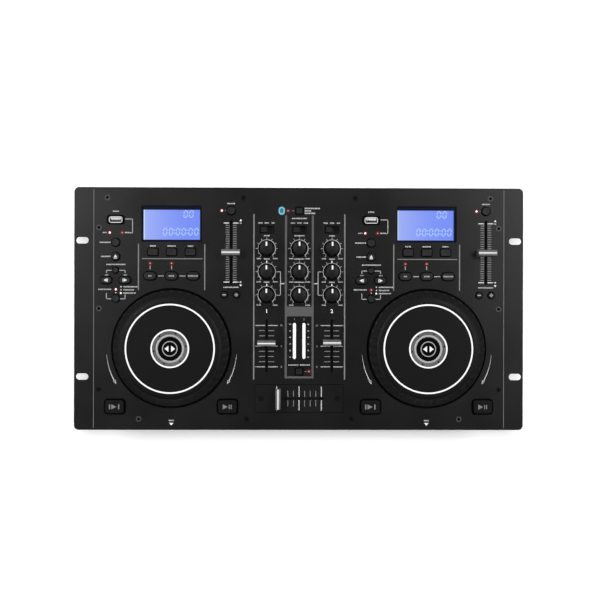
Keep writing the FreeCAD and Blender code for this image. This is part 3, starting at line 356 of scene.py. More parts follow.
keyTint = (0.98, 0.99, 1.0)
finishTables = (
    (grainedFinish, {
        # colour, roughness, grain in millimetres, its depth, drift of the colour, specular level, metallic
        "panelPaint": (gray(14), 0.37, 0.8, 0.01, 0.22),
        "casePaint": (gray(30), 0.5, 0.9, 0.03, 0.2, 0.45),
        "keyPlastic": (gray(20), 0.5, 0.5, 0.012, 0.15),
        "playKeyPlastic": (gray(12), 0.55, 0.5, 0.012, 0.15, 0.25),
        "knobPlastic": (gray(18), 0.48, 0.4, 0.012, 0.2, 0.36),
        # darker copy of the knob plastic, for painted shade on the knobs' sides
        "knobSide": (gray(8), 0.55, 0.4, 0.012, 0.2, 0.22),
        "jogPlastic": (gray(11), 0.5, 0.6, 0.008, 0.12, 0.26),
        "jogRubber": (gray(22), 0.6, 0.7, 0.03, 0.2, 0.4),
        "blackPlastic": (gray(14), 0.55, 0.6, 0.02, 0.2, 0.35),
        "deepBlack": (gray(5), 0.7, 0.6, 0.01, 0.3, 0.08),
        "footRubber": (gray(22), 0.8, 0.7, 0.05, 0.2, 0.3),
        "blackScrew": (gray(26), 0.38, 0.5, 0.01, 0.2, 0.5, 0.6),
        "boardMask": (linear(12, 16, 14), 0.45, 2.5, 0.02, 0.25),
        "faderPlastic": (gray(122), 0.36, 0.5, 0.01, 0.1, 0.5, 0.2),
        "socketPlate": (gray(206), 0.35, 0.5, 0.004, 0.05, 0.5, 0.15),
        "screwRim": (gray(72), 0.4, 0.4, 0.005, 0.2, 0.5, 0.2),
        "whitePlastic": (gray(200), 0.45, 0.6, 0.01, 0.06),
        "redPlastic": (linear(150, 22, 24), 0.45, 0.6, 0.01, 0.08),
        "frameBlue": (linear(4, 8, 26), 0.6, 0.8, 0.01, 0.15, 0.2),
    }),
    (brushedFinish, {
        # colour, roughness, stretch
        "zincSheet": (gray(170), 0.4, (1, 8, 8)),
        "socketMetal": (gray(225), 0.25, (6, 1, 6)),
        "nickelMetal": (gray(158), 0.32, (6, 1, 6)),
    }),
    (spunFinish, {
        # colour, roughness, metallic
        "bandMetal": (gray(108), 0.5, 0.35),
        "beadMetal": (gray(186), 0.45, 0.25),
    }),
    (inkFinish, {
        # level from 0 to 255, tint
        "ringInlay": (250,),
        "whiteInk": (235,),
        "legendInk": (194,),
        "softInk": (168,),
        "lineInk": (122,),
        "dimInk": (84,),
        "keyInk": (172, keyTint),
        "brightKeyInk": (224, keyTint),
    }),
    (glowFinish, {
        # colour of the light, its strength, colour of the lens, roughness
        "digitGlow": (linear(178, 204, 255), 1.05, gray(8), 0.3),
        "edgeGlow": (linear(204, 226, 255), 1.0, gray(8), 0.3),
        # lit red lenses, and the painted glow they spill on the panel round them
        "redRim": (linear(88, 14, 22), 0.7, linear(40, 4, 7), 0.5),
        "lampCore": (linear(255, 226, 232), 1.3, linear(255, 210, 215)),
        "dimCore": (linear(226, 158, 150), 0.85, linear(140, 80, 76)),
        "blueRim": (linear(128, 190, 206), 0.7, linear(70, 112, 124)),
        "blueLamp": (linear(40, 124, 146), 0.7, linear(20, 70, 84)),
        # dim glow painted on the panel round the pairing lamp
        "blueHalo": (linear(10, 42, 52), 0.7, linear(3, 14, 18), 0.6),
        "meterGlow": (linear(230, 230, 233), 0.52, gray(200), 0.4),
    }),
)
finish = {}
for maker, table in finishTables:
    for name, values in table.items():
        finish[name] = maker(name, *values)
print("finishes made:", len(finish))


# mesh helpers
def addPiece(name, shape, finishName, smooth=None, replaces=(), body="console"):
    # shape is (points, faces); smooth is the largest angle, in degrees, that isn't kept sharp
    points, faces = shape
    mesh = bpy.data.meshes.new(name)
    mesh.from_pydata((np.asarray(points, float) * mm).tolist(), [], asList(faces))
    mesh.update()
    if smooth is not None:
        mesh.polygons.foreach_set("use_smooth", np.ones(len(mesh.polygons), bool))
        mesh.set_sharp_from_angle(angle=radians(smooth))
    mesh.materials.append(finish[finishName])
    piece = bpy.data.objects.new(name, mesh)
    bpy.context.scene.collection.objects.link(piece)
    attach(piece, body)
    if replaces:
        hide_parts(*replaces)
    return piece


def asList(faces):
    return faces if isinstance(faces, list) else faces.tolist()


def atHeight(loop, height):
    return np.column_stack([loop, np.full(len(loop), height)])


def gridFaces(rows, columns):
    # quads between neighbouring rows of a rows x columns grid, wrapping round the columns
    r = np.arange(rows - 1)[:, None]
    c = np.arange(columns)[None, :]
    after = (c + 1) % columns
    near, far = r * columns, (r + 1) * columns
    return np.stack([near + c, near + after, far + after, far + c], -1).reshape(-1, 4)


def paintFaces(piece, finishName, chosen):
    # a second material on the faces whose centres, in millimetres, are chosen
    piece.data.materials.append(finish[finishName])
    slotIndex = len(piece.data.materials) - 1
    centres = np.empty(len(piece.data.polygons) * 3)
    piece.data.polygons.foreach_get("center", centres)
    index = np.empty(len(piece.data.polygons), np.int32)
    piece.data.polygons.foreach_get("material_index", index)
    index[chosen(centres.reshape(-1, 3) / mm)] = slotIndex
    piece.data.polygons.foreach_set("material_index", index)


def closedRings(rings, lowPole, highPole):
    # rings of points from the bottom up, closed by a fan to a point at each end
    rows, columns = rings.shape[:2]
    points = np.vstack([rings.reshape(-1, 3), [lowPole], [highPole]])
    c = np.arange(columns)
    after = (c + 1) % columns
    low = np.stack([after, c, np.full(columns, rows * columns)], -1)
    top = (rows - 1) * columns
    high = np.stack([top + c, top + after, np.full(columns, rows * columns + 1)], -1)
    return points, asList(gridFaces(rows, columns)) + asList(low) + asList(high)


def closedLoops(loops):
    # loops of points, each joined to the next one and the last one to the first
    rows, columns = loops.shape[:2]
    c = np.arange(columns)
    after = (c + 1) % columns
    start = (rows - 1) * columns
    last = np.stack([start + c, start + after, after, c], -1)
    return loops.reshape(-1, 3), np.vstack([gridFaces(rows, columns), last])


def turned(profile, x, y, count):
    # each (r, z) becomes count points at (x + r cos a, y + r sin a, z)
    radius, height = np.array(profile, float).T
    angle = np.linspace(0, 2 * pi, count, endpoint=False)
    ringX = x + radius[:, None] * np.cos(angle)
    ringY = y + radius[:, None] * np.sin(angle)
    return np.stack([ringX, ringY, np.repeat(height[:, None], count, 1)], -1)


def lathe(profile, x, y, count):
    # (r, z) profile turned about the upright line through x, y; both ends close on the axis
    return closedRings(turned(profile, x, y, count), (x, y, profile[0][1]), (x, y, profile[-1][1]))


def turnedBand(x, y, section, count):
    # closed (r, z) section, anticlockwise with r to the right, turned about the upright line through x, y
    return closedLoops(turned(section, x, y, count))


def ringBand(x, y, inner, outer, low, high, count=128):
    # a turned rectangle: r from inner to outer, z from low to high
    return turnedBand(x, y, [(inner, low), (outer, low), (outer, high), (inner, high)], count)


def roundedLoop(size, corner, steps=6):
    # corner centre plus corner radius times (cos, sin), a quarter turn for each corner
    width, depth = size
    corner = min(corner, width / 2, depth / 2)
    quarter = np.linspace(0, pi / 2, steps + 1)
    angle = (quarter[None, :] + np.arange(4)[:, None] * pi / 2).ravel()
    signX = np.repeat([1, -1, -1, 1], steps + 1)
    signY = np.repeat([1, 1, -1, -1], steps + 1)
    outward = np.stack([np.cos(angle), np.sin(angle)], -1)
    centre = np.stack([signX * (width / 2 - corner), signY * (depth / 2 - corner)], -1)
    return centre, outward, corner


def loopPoints(place, size, corner, steps=6):
    # the rounded outline itself, about its place
    centre, outward, radius = roundedLoop(size, corner, steps)
    return centre + outward * radius + place


def capSurface(place, size, corner, levels, dish=0.0, steps=6):
    # rounded outline drawn in by each level's inset at its height, and a top that dips by dish at its middle:
    # dish times (1 - s squared) at the share s of the way out
    centre, outward, radius = roundedLoop(size, corner, steps)
    rings = [atHeight(centre + outward * (radius - inset) + place, height) for inset, height in levels]
    lastInset, top = levels[-1]
    edge = centre + outward * (radius - lastInset)
    for share in (0.75, 0.5, 0.25):
        rings.append(atHeight(edge * share + place, top - dish * (1 - share**2)))
    return closedRings(np.array(rings), (*place, levels[0][1]), (*place, top - dish))


def rimPlate(place, outer, inner, turns, low, high):
    # flat plate with a hole through it: two rounded outlines with the same number of points,
    # whose corners have the radii in turns, the hole's first
    innerTurn, outerTurn = turns
    outside = loopPoints(place, outer, outerTurn)
    inside = loopPoints(place, inner, innerTurn)
    walls = ((outside, low), (outside, high), (inside, high), (inside, low))
    return closedLoops(np.array([atHeight(loop, height) for loop, height in walls]))


def openBox(place, outer, inner, turns, levels):
    # outer wall up, across the rim, down the inner wall and across the floor
    innerTurn, outerTurn = turns
    outside = loopPoints(place, outer, outerTurn, 4)
    inside = loopPoints(place, inner, innerTurn, 4)
    low, high, floorHeight = levels
    walls = ((outside, low), (outside, high), (inside, high), (inside, floorHeight))
    loops = [atHeight(loop, height) for loop, height in walls]
    return closedRings(np.array(loops), (*place, low), (*place, floorHeight))


def merged(shapes):
    # several (points, faces) put in one mesh
    allPoints = []
    allFaces = []
    start = 0
    for points, faces in shapes:
        allPoints.append(np.asarray(points, float))
        allFaces += [[index + start for index in face] for face in asList(faces)]
        start += len(points)
    return np.vstack(allPoints), allFaces


def prism(outline, low, high):
    # straight-sided solid over a closed outline given anticlockwise
    outline = np.array(outline, float)
    count = len(outline)
    points = np.vstack([atHeight(outline, low), atHeight(outline, high)])
    c = np.arange(count)
    after = (c + 1) % count
    sides = np.stack([c, after, after + count, c + count], -1).tolist()
    return points, sides + [c[::-1].tolist(), (c + count).tolist()]


def bar(x0, x1, y0, y1, low, high):
    return prism([(x0, y0), (x1, y0), (x1, y1), (x0, y1)], low, high)


def ribbon(path, widths, low, high):
    # flat stripe along a path: each point is moved half the width to its left and right
    path = np.array(path, float)
    widths = np.broadcast_to(np.asarray(widths, float), len(path))
    along = np.gradient(path, axis=0)
    along /= np.linalg.norm(along, axis=1)[:, None]
    side = np.column_stack([-along[:, 1], along[:, 0]]) * widths[:, None] / 2
    outline = np.vstack([path - side, (path + side)[::-1]])
    count = len(path)
    points = np.vstack([atHeight(outline, low), atHeight(outline, high)])
    a = np.arange(count - 1)
    b = 2 * count - 1 - a
    floorQuads = np.stack([a, b, b - 1, a + 1], -1)
    topQuads = np.stack([a, a + 1, b - 1, b], -1) + 2 * count
    c = np.arange(2 * count)
    after = (c + 1) % (2 * count)
    sides = np.stack([c, after, after + 2 * count, c + 2 * count], -1)
    return points, np.vstack([floorQuads, topQuads, sides])


def circlePoints(x, y, radius, start, end, count):
    # (x + radius cos a, y + radius sin a) for count angles from start to end degrees
    angle = np.radians(np.linspace(start, end, count))
    return np.column_stack([x + radius * np.cos(angle), y + radius * np.sin(angle)])


# printed legends, and painted shade round the mixer's dials
arrowHeads = {
    # corners anticlockwise, in half widths and half heights
    "right": ((-1, -1), (1, 0), (-1, 1)),
    "left": ((1, 1), (-1, 0), (1, -1)),
    "up": ((-1, -1), (1, -1), (0, 1)),
    "down": ((-1, 1), (0, -1), (1, 1)),
}
wordBlocks = {
    "stroke": 0.62,  # usual width of a block, as a share of the word's height
    "gap": 0.36,
    "least": 0.6,  # a block is at least this share of the usual width,
    "spread": 0.9,  # and at most this much more
}


class FlatMarks:
    # shapes printed with one ink, or laid in one colour as painted shade or painted highlight, kept as thin
    # solids that stand a hair above the surface and reach into it
    def __init__(self, surface, rise=0.05, sink=0.05):
        self.low = surface - sink
        self.high = surface + rise
        self.shapes = []

    def bar(self, x0, x1, y0, y1):
        self.shapes.append(bar(min(x0, x1), max(x0, x1), min(y0, y1), max(y0, y1), self.low, self.high))

    def across(self, x0, x1, y, thick):
        self.bar(x0, x1, y - thick / 2, y + thick / 2)

    def upright(self, x, y0, y1, thick):
        self.bar(x - thick / 2, x + thick / 2, y0, y1)

    def polygon(self, outline):
        self.shapes.append(prism(outline, self.low, self.high))

    def path(self, points, thick):
        # straight runs, each one lengthened by half its thickness so that corners close
        for (x0, y0), (x1, y1) in zip(points[:-1], points[1:]):
            if abs(x1 - x0) > abs(y1 - y0):
                self.across(min(x0, x1) - thick / 2, max(x0, x1) + thick / 2, y0, thick)
            else:
                self.upright(x0, min(y0, y1) - thick / 2, max(y0, y1) + thick / 2, thick)

    def draw(self, x, y, shapes):
        # shapes as kind, middle, width and height, counted from x, y;
        # the kind is a bar, an arrow head, or the seed of a word
        for kind, shapeX, shapeY, width, height in shapes:
            left, right = x + shapeX - width / 2, x + shapeX + width / 2
            if kind == "bar":
                self.across(left, right, y + shapeY, height)
            elif kind in arrowHeads:
                corners = np.array(arrowHeads[kind]) * (width / 2, height / 2)
                self.polygon(corners + (x + shapeX, y + shapeY))
            else:
                self.legend(left, right, y + shapeY, height, kind)

    def arc(self, x, y, radius, start, end, widths, count=48):
        self.shapes.append(ribbon(circlePoints(x, y, radius, start, end, count), widths, self.low, self.high))

    def dot(self, x, y, radius, count=20):
        self.polygon(circlePoints(x, y, radius, 0, 360 * (count - 1) / count, count))

    def legend(self, x0, x1, y, height, seed):
        # a row of plain blocks where a word would be: each is the usual stroke times a random share, and then
        # all are scaled so that the row ends at x1
        stroke = height * wordBlocks["stroke"]
        gap = height * wordBlocks["gap"]
        count = max(1, int(round((x1 - x0 + gap) / (stroke + gap))))
        share = wordBlocks["least"] + wordBlocks["spread"] * np.random.default_rng(seed).random(count)
        width = share / share.sum() * (x1 - x0 - gap * (count - 1))
        start = x0 + np.concatenate([[0], np.cumsum(width + gap)[:-1]])
        for left, wide in zip(start, width):
            self.bar(left, left + wide, y - height / 2, y + height / 2)

    def numeral(self, words, x, y, height, bold=0.0):
        # plain numeral in the built-in typeface, centred on x, y; bold widens its strokes
        curve = bpy.data.curves.new("numeral", "FONT")
        curve.body = words
        curve.size = 1.0
        curve.align_x = "CENTER"
        curve.align_y = "CENTER"
        curve.extrude = (self.high - self.low) / 2
        curve.offset = bold
        carrier = bpy.data.objects.new("numeral", curve)
        bpy.context.scene.collection.objects.link(carrier)
        bpy.context.view_layer.update()
        mesh = bpy.data.meshes.new_from_object(carrier)
        count = len(mesh.vertices)
        points = np.empty(count * 3)
        mesh.vertices.foreach_get("co", points)
        points = points.reshape(-1, 3)
        low, high = points.min(0), points.max(0)
        scale = height / (high[1] - low[1])
        points[:, 0] = x + (points[:, 0] - (low[0] + high[0]) / 2) * scale
        points[:, 1] = y + (points[:, 1] - (low[1] + high[1]) / 2) * scale
        points[:, 2] += (self.low + self.high) / 2
        faces = [list(face.vertices) for face in mesh.polygons]
        self.shapes.append((points, faces))
        bpy.data.objects.remove(carrier)
        bpy.data.curves.remove(curve)
        bpy.data.meshes.remove(mesh)

    def make(self, name, inkName, body="console"):
        addPiece(name, merged(self.shapes), inkName, body=body)


deckPrint = {
    "legendHeight": 1.3,
    "legends": (
        # from and to along x, counted from the wheel's middle, and y
        (-73.6, -69.5, 81.4),
        (-50.0, -44.5, 81.4),
        (-77.0, -65.4, 70.9),
        (-75.5, -65.4, 55.8),
        (-69.7, -49.4, 47.2),
        (-78.4, -64.7, 20.5),
        (-51.4, -36.6, 23.3),
        (-51.4, -40.5, 20.0),
        (-51.4, -38.4, 16.6),
        (-23.0, -17.0, 67.1),
        (-4.3, 4.3, 67.1),
        (17.2, 23.2, 67.1),
        (59.6, 67.8, 112.9),
        (55.6, 71.6, 23.0),
        (-2.5, 2.5, -120.0),
        (-62.9, -56.7, 104.2),
    ),
    "smallLegends": ((-71.3, -68.1, 35.9), (-51.0, -47.8, 35.9)),
    "brackets": (
        ((-49.6, 95.9), (-41.9, 95.9), (-41.9, 81.0), (-44.0, 81.0)),
        ((-64.4, 40.9), (-69.7, 40.9), (-69.7, 38.4)),
        ((-55.6, 40.9), (-49.7, 40.9), (-49.7, 38.4)),
        ((-69.7, 16.2), (-69.7, 10.4), (-64.7, 10.4)),
        ((-49.7, 14.6), (-49.7, 10.4), (-54.6, 10.4)),
    ),
    "bracketWidth": 0.8,
    "dots": ((-54.0, 23.3, 0.6), (-54.0, 20.0, 0.6), (-54.2, 16.6, 1.05), (-59.6, 16.9, 0.5)),
    "lines": (
        ("bar", 0.7, 53.5, 64.8, 0.9),
        ("bar", -35.5, 44.6, 1.2, 49.4),
        ("bar", 35.5, 44.6, 1.2, 49.4),
        ("bar", 57.4, 105.3, 1.6, 0.7),
    ),
    "softBars": (
        ("bar", -23.0, 44.0, 0.8, 3.8),
        ("bar", 0.0, 44.0, 0.8, 3.8),
        ("bar", -11.4, 35.0, 6.4, 0.8),
        ("bar", 11.5, 35.0, 6.6, 0.8),
    ),
    "signs": (
        ("down", 0.0, -123.9, 4.8, 2.8),
        ("up", 74.0, 95.1, 2.6, 2.2),
        ("bar", 74.0, 91.8, 1.8, 0.7),
        ("bar", 74.0, 28.6, 2.0, 0.7),
        ("bar", 74.0, 28.6, 0.7, 2.0),
        ("down", 74.0, 24.8, 2.6, 2.2),
    ),
    "pitchX": 63.8,
    "pitchTicks": (28.6, 92.0, 26),
    "tickReach": (1.9, 5.8, 8.0),  # from the slot's middle: start, end of a short tick, end of a long one
    "tickWidth": (0.44, 0.8),
    "arrowRadius": 69.7,
    "arrowMiddle": (0.3, -1.9),  # middle of the arrows' circle, from the wheel's own
    "arrowSpan": (184.2, 209.8),
    "arrowWidths": (0.18, 1.05),
    "arrowHead": (2.0, 1.6, 1.5, 1.7),  # degrees past the stripe and short of it, reach outward and inward
}


def drawDeck(side):
    middle = deckMiddle[side]
    white, words, soft, line = (FlatMarks(panelTop) for _ in range(4))
    height = deckPrint["legendHeight"]
    for ink, key, seed in ((words, "legends", 0), (soft, "smallLegends", 40)):
        for index, (x0, x1, y) in enumerate(deckPrint[key]):
            ink.legend(middle + x0, middle + x1, y, height, seed + index)
    for x, y, radius in deckPrint["dots"]:
        white.dot(middle + x, y, radius)
    for run in deckPrint["brackets"]:
        soft.path([(middle + x, y) for x, y in run], deckPrint["bracketWidth"])
    for ink, key in ((line, "lines"), (soft, "softBars"), (white, "signs")):
        ink.draw(middle, 0.0, deckPrint[key])
    drawPitchScale(middle, white, soft)
    drawTurnArrows(middle, words)
    white.make(side + "DeckWhitePrint", "whiteInk")
    words.make(side + "DeckLegends", "legendInk")
    soft.make(side + "DeckSoftPrint", "softInk")
    line.make(side + "DeckLinePrint", "lineInk")


def drawPitchScale(middle, white, soft):
    # ticks on both sides of the slot, long and white at its two ends
    low, high, steps = deckPrint["pitchTicks"]
    start, short, full = deckPrint["tickReach"]
    thin, thick = deckPrint["tickWidth"]
    x = middle + deckPrint["pitchX"]
    for index, y in enumerate(np.linspace(low, high, steps + 1)):
        isEnd = index in (0, steps)
        ink, end, width = (white, full, thick) if isEnd else (soft, short, thin)
        for sign in (-1, 1):
            ink.across(x + sign * start, x + sign * end, y, width)


def drawTurnArrows(middle, ink):
    # stripe whose width grows evenly along an arc beside the wheel, with a barbed head at its lower end
    start, end = deckPrint["arrowSpan"]
    radius = deckPrint["arrowRadius"]
    past, short, outward, inward = deckPrint["arrowHead"]
    arcX, arcY = np.array([middle, jogY]) + deckPrint["arrowMiddle"]
    stripe = circlePoints(0, 0, radius, start, end, 24)
    widths = np.linspace(*deckPrint["arrowWidths"], 24)
    head = [(radius, end + past), (radius - inward, end - short), (radius + outward, end - short)]
    corners = np.array([(reach * cos(radians(turn)), reach * sin(radians(turn))) for reach, turn in head])
    for mirror in (1, -1):
        # the mirrored one is drawn from its other end, so that its faces stay outward
        arc = stripe[::mirror] * (mirror, 1) + (arcX, arcY)
        ink.shapes.append(ribbon(arc, widths[::mirror], ink.low, ink.high))
        ink.polygon(corners[::mirror] * (mirror, 1) + (arcX, arcY))


mixerPrint = {
    "columns": (-35.0, 0.0, 35.0),
    "rows": (64.8, 39.8, 14.9),
    "dialRadius": 9.4,
    "dialWidth": (0.4, 0.74),
    "dialTicks": (9.8, 11.9),
    "dialShortTicks": (9.8, 11.2),
    "tickWidth": 0.5,
    "topTickWidth": 1.1,
    # inner and outer radius of the painted shade ring under and round each knob
    "dialShade": (5.0, 9.1),
    "dialHalfTurn": 141.0,
    "lines": (
        ("bar", -48.8, 12.85, 1.4, 177.7),
        ("bar", 48.8, 12.85, 1.4, 177.7),
        ("bar", -6.9, 105.3, 2.6, 0.7),
        ("bar", 6.95, -67.3, 2.1, 0.7),
    ),
    "frame": (
        ("bar", -14.4, 13.95, 2.2, 172.9),
        ("bar", 14.4, 13.95, 2.2, 172.9),
        ("bar", 0.0, -73.6, 31.0, 2.2),
        ("bar", 0.0, -2.8, 26.6, 10.4),
    ),
    "bracket": (20.2, 23.9, 14.6, 39.8, 0.8),
    "knobLegend": (13.7, 1.2, 5.2, 3.0),  # rise over the knob, height, half width in the middle and beside it
    "endLegends": ((-10.8, -6.4, 50), (6.6, 11.4, 70)),  # from, to, what is added to the seed
    "endLegend": (10.9, 1.15),  # drop below the knob, height
    "switchLegend": (92.2, 1.2),
    "switchLegends": (-6.9, 0.0, 6.9),
    "legends": (
        # x from and to, y, height, seed
        (-8.0, 8.0, 97.1, 1.3, 200),
        (5.8, 21.8, 107.9, 1.4, 210),
        (5.8, 12.4, 105.3, 1.4, 211),
        (5.8, 16.8, 102.7, 1.4, 212),
        (-11.5, -0.9, -60.3, 1.15, 220),
        (0.9, 11.5, -60.3, 1.15, 221),
        (-19.6, -15.8, 27.1, 1.3, 230),
        (15.8, 19.6, 27.1, 1.3, 230),
    ),
    "channelNumeral": (-2.4, 4.1, 0.03),  # y, height, widening
    "meterNumeral": (5.1, -11.3),
    "smallNumeral": 1.9,
    "faderColumns": (-35.0, 35.0),
    "faderTicks": (-62.3, -17.9, 8),
    "faderReach": (1.7, 8.1, 11.9),  # from the slot's middle: start, end of a short tick, end of a long one
    "faderTickWidth": (0.8, 0.9),
    "faderNumeral": 15.9,
    "crossY": -96.3,
    "crossTicks": (-24.0, 24.0, 8),
    "crossReach": (1.7, 8.4, 12.8),
    "crossTickWidth": (0.75, 1.0),
    "crossPlate": (47.55, 15.15),
    "crossSeam": (0.5, 0.4),
    "meterMarks": (-16.6, -23.7, -30.6, -37.7, -44.8, -51.9),
    "meterMark": (9.7, 0.8, 0.55),
}


def drawDial(white, soft, dialShadeMarks, x, y, centred):
    # arc of a dial open at the bottom: its width is 0.4 + 0.74 times the square of a share that grows from
    # the left end to the right one, or on a centred dial from the top to both ends; a tick every 30 degrees
    half = mixerPrint["dialHalfTurn"]
    share = np.linspace(-1, 1, 60)
    grown = np.abs(share) if centred else (share + 1) / 2
    least, more = mixerPrint["dialWidth"]
    # painted shade: a dark ring on the panel round the foot of each knob, where its shadow and the gap round
    # it fall
    dialShadeMarks.shapes.append(ringBand(x, y, *mixerPrint["dialShade"], dialShadeMarks.low, dialShadeMarks.high, 64))
    soft.arc(x, y, mixerPrint["dialRadius"], 90 + half, 90 - half, least + more * grown**2, len(share))
    for turn in [30 * step for step in range(-4, 5)] + [-half, half]:
        angle = radians(90 + turn)
        reaches = mixerPrint["dialShortTicks" if abs(turn) == 120 else "dialTicks"]
        run = [(x + reach * cos(angle), y + reach * sin(angle)) for reach in reaches]
        isTop = centred and turn == 0
        ink = white if isTop else soft
        width = mixerPrint["topTickWidth" if isTop else "tickWidth"]
        ink.shapes.append(ribbon(run, width, ink.low, ink.high))


def drawMixer():
    white, words, soft, line = (FlatMarks(panelTop) for _ in range(4))
    dim, dialShadeMarks = (FlatMarks(panelTop, 0.03) for _ in range(2))
    line.draw(0.0, 0.0, mixerPrint["lines"])
    dim.draw(0.0, 0.0, mixerPrint["frame"])
    x0, x1, y0, y1, thick = mixerPrint["bracket"]
    for sign in (-1, 1):
        soft.path([(sign * x1, y1), (sign * x0, y1), (sign * x0, y0), (sign * x1, y0)], thick)
    drawColumns(white, words, soft, dialShadeMarks)
    for values in mixerPrint["legends"]:
        words.legend(*values)
    drawNumerals(white, soft)
    drawChannelScales(soft, line)
    white.make("mixerWhitePrint", "whiteInk")
    words.make("mixerLegends", "legendInk")
    soft.make("mixerSoftPrint", "softInk")
    line.make("mixerLinePrint", "lineInk")
    dim.make("mixerFramePrint", "dimInk")
    dialShadeMarks.make("mixerDialShade", "deepBlack")


def drawColumns(white, words, soft, dialShadeMarks):
    # dials with their legends, and the legends of the switch over each column
    rise, height, middleHalf, sideHalf = mixerPrint["knobLegend"]
    drop, endHeight = mixerPrint["endLegend"]
    switchY, switchHeight = mixerPrint["switchLegend"]
    seed = 100
    for column in mixerPrint["columns"]:
        for row in mixerPrint["rows"]:
            isTop = row == mixerPrint["rows"][0]
            drawDial(white, soft, dialShadeMarks, column, row, column != 0 and not isTop)
            half = sideHalf if column else middleHalf
            words.legend(column - half, column + half, row + rise, height, seed)
            for x0, x1, more in mixerPrint["endLegends"]:
                words.legend(column + x0, column + x1, row - drop, endHeight, seed + more)
            seed += 1
        for offset in mixerPrint["switchLegends"]:
            half = 1.6 if column and offset > 0 else 2.2
            x = column + offset
            words.legend(x - half, x + half, switchY, switchHeight, seed)
            seed += 1


def drawNumerals(white, soft):
    y, height, widening = mixerPrint["channelNumeral"]
    meterX, meterY = mixerPrint["meterNumeral"]
    for words, side, x in zip("12", (-1, 1), mixerPrint["faderColumns"]):
        white.numeral(words, x, y, height, widening)
        soft.numeral(words, side * meterX, meterY, mixerPrint["smallNumeral"])
    x, halfWidth, halfDepth = mixerPrint["meterMark"]
    for y in mixerPrint["meterMarks"]:
        for markX in (-x, x):
            soft.bar(markX - halfWidth, markX + halfWidth, y - halfDepth, y + halfDepth)


def drawChannelScales(soft, line):
    # ticks on both sides of each channel fader's slot: long ones at its ends and middle, with their numerals
    low, high, steps = mixerPrint["faderTicks"]
    start, short, full = mixerPrint["faderReach"]
    thin, thick = mixerPrint["faderTickWidth"]
    for x in mixerPrint["faderColumns"]:
        for index, y in enumerate(np.linspace(low, high, steps + 1)):
            isLong = index in (0, steps // 2, steps)
            ink, end, width = (soft, full, thick) if isLong else (line, short, thin)
            for sign in (-1, 1):
                ink.across(x + sign * start, x + sign * end, y, width)
        inward = -1 if x > 0 else 1
        for words, y in (("10", high), ("5", (low + high) / 2), ("0", low)):
            soft.numeral(words, x + inward * mixerPrint["faderNumeral"], y, mixerPrint["smallNumeral"])


def drawCrossScale():
    # ticks along the crossfader's slot, all but the second, and the seam round its plate
    white, line = (FlatMarks(panelTop) for _ in range(2))
    low, high, steps = mixerPrint["crossTicks"]
    start, short, full = mixerPrint["crossReach"]
    thin, thick = mixerPrint["crossTickWidth"]
    y = mixerPrint["crossY"]
    for index, x in enumerate(np.linspace(low, high, steps + 1)):
        isLong = index in (0, steps // 2, steps)
        ink, end, width = (white, full, thick) if isLong else (line, short, thin)
        for sign in (-1, 1):
            if index != 1:
                ink.upright(x, y + sign * start, y + sign * end, width)
    seam = FlatMarks(panelTop, 0.03)
    halfWidth, halfDepth = mixerPrint["crossPlate"]
    thick, thin = mixerPrint["crossSeam"]
    for sign in (-1, 1):
        seam.across(-halfWidth, halfWidth, y + sign * halfDepth, thick)
        seam.upright(sign * halfWidth, y - halfDepth, y + halfDepth, thin)
    white.make("crossfaderWhitePrint", "legendInk")
    line.make("crossfaderLinePrint", "lineInk")
    seam.make("crossfaderSeam", "deepBlack")


for side in deckMiddle:
    drawDeck(side)
drawMixer()
drawCrossScale()
print("legends printed")


# carried-over CAD nodes
nodeFinish = {
    "face_panel": "panelPaint",
    "crossfader_plate": "panelPaint",
    "chassis": "casePaint",
    "rubber_feet": "footRubber",
    "panel_screws": "blackScrew",
    "control_board": "boardMask",
    "power_supply": "boardMask",
    "rear_connectors": "blackPlastic",
    "front_sockets": "blackPlastic",
    "disc_drives": "zincSheet",
    "jog_bases": "blackPlastic",
    "left_spindle": "blackPlastic",
    "right_spindle": "blackPlastic",
    "power_switch": "keyPlastic",
    "input_switch_1": "keyPlastic",
    "input_switch_2": "keyPlastic",
    "cue_switch": "keyPlastic",
}


def finishNodes():
    for name, finishName in nodeFinish.items():
        materials = nodes[name].data.materials
        if len(materials) == 0:
            materials.append(finish[finishName])
        for index in range(len(materials)):
            materials[index] = finish[finishName]


panelTrim = {
    "earLine": (220.3, 0.55, 128.0),  # distance from the middle, width, half length
    "earLineDepth": 0.2,
    "shinyScrews": ((205.8, 119.0), (214.8, 86.8), (214.8, 0.0), (172.0, -118.4)),
    "blackScrews": ((60.0, 119.0), (214.8, -86.8), (56.3, -118.4)),
    "screwRim": (1.75, 2.9),
    "screwSocket": 1.5,
    "screwCross": (("bar", 0.0, 0.0, 3.0, 0.9), ("bar", 0.0, 0.0, 0.9, 3.0)),
    "edgeWidth": 0.7,
    "trackDepth": 0.3,
}


def makePanelTrim():
    # the ear lines lie in the panel's grooves, just below its face, and are a painted highlight along the
    # grooves' edges in the grey of the printed lines; each screw stands on both sides
    lines = FlatMarks(panelTop - panelTrim["earLineDepth"], 0.19, 0.09)
    x, width, reach = panelTrim["earLine"]
    for sign in (-1, 1):
        lines.upright(sign * x, -reach, reach, width)
    lines.make("earGrooveHighlights", "lineInk")
    headTop = nodeBox("panel_screws")[1][2]
    rims = []
    # painted shade: dark dots and crosses on the screw heads where their recesses lie in shade
    recessShade = FlatMarks(headTop, 0.03, 0.1)
    for sign in (-1, 1):
        for x, y in panelTrim["shinyScrews"]:
            rims.append(ringBand(sign * x, y, *panelTrim["screwRim"], headTop - 0.1, headTop + 0.02, 32))
            recessShade.dot(sign * x, y, panelTrim["screwSocket"], 7)
        for x, y in panelTrim["blackScrews"]:
            recessShade.draw(sign * x, y, panelTrim["screwCross"])
    addPiece("screwRims", merged(rims), "screwRim", 30)
    recessShade.make("screwRecessShade", "deepBlack")


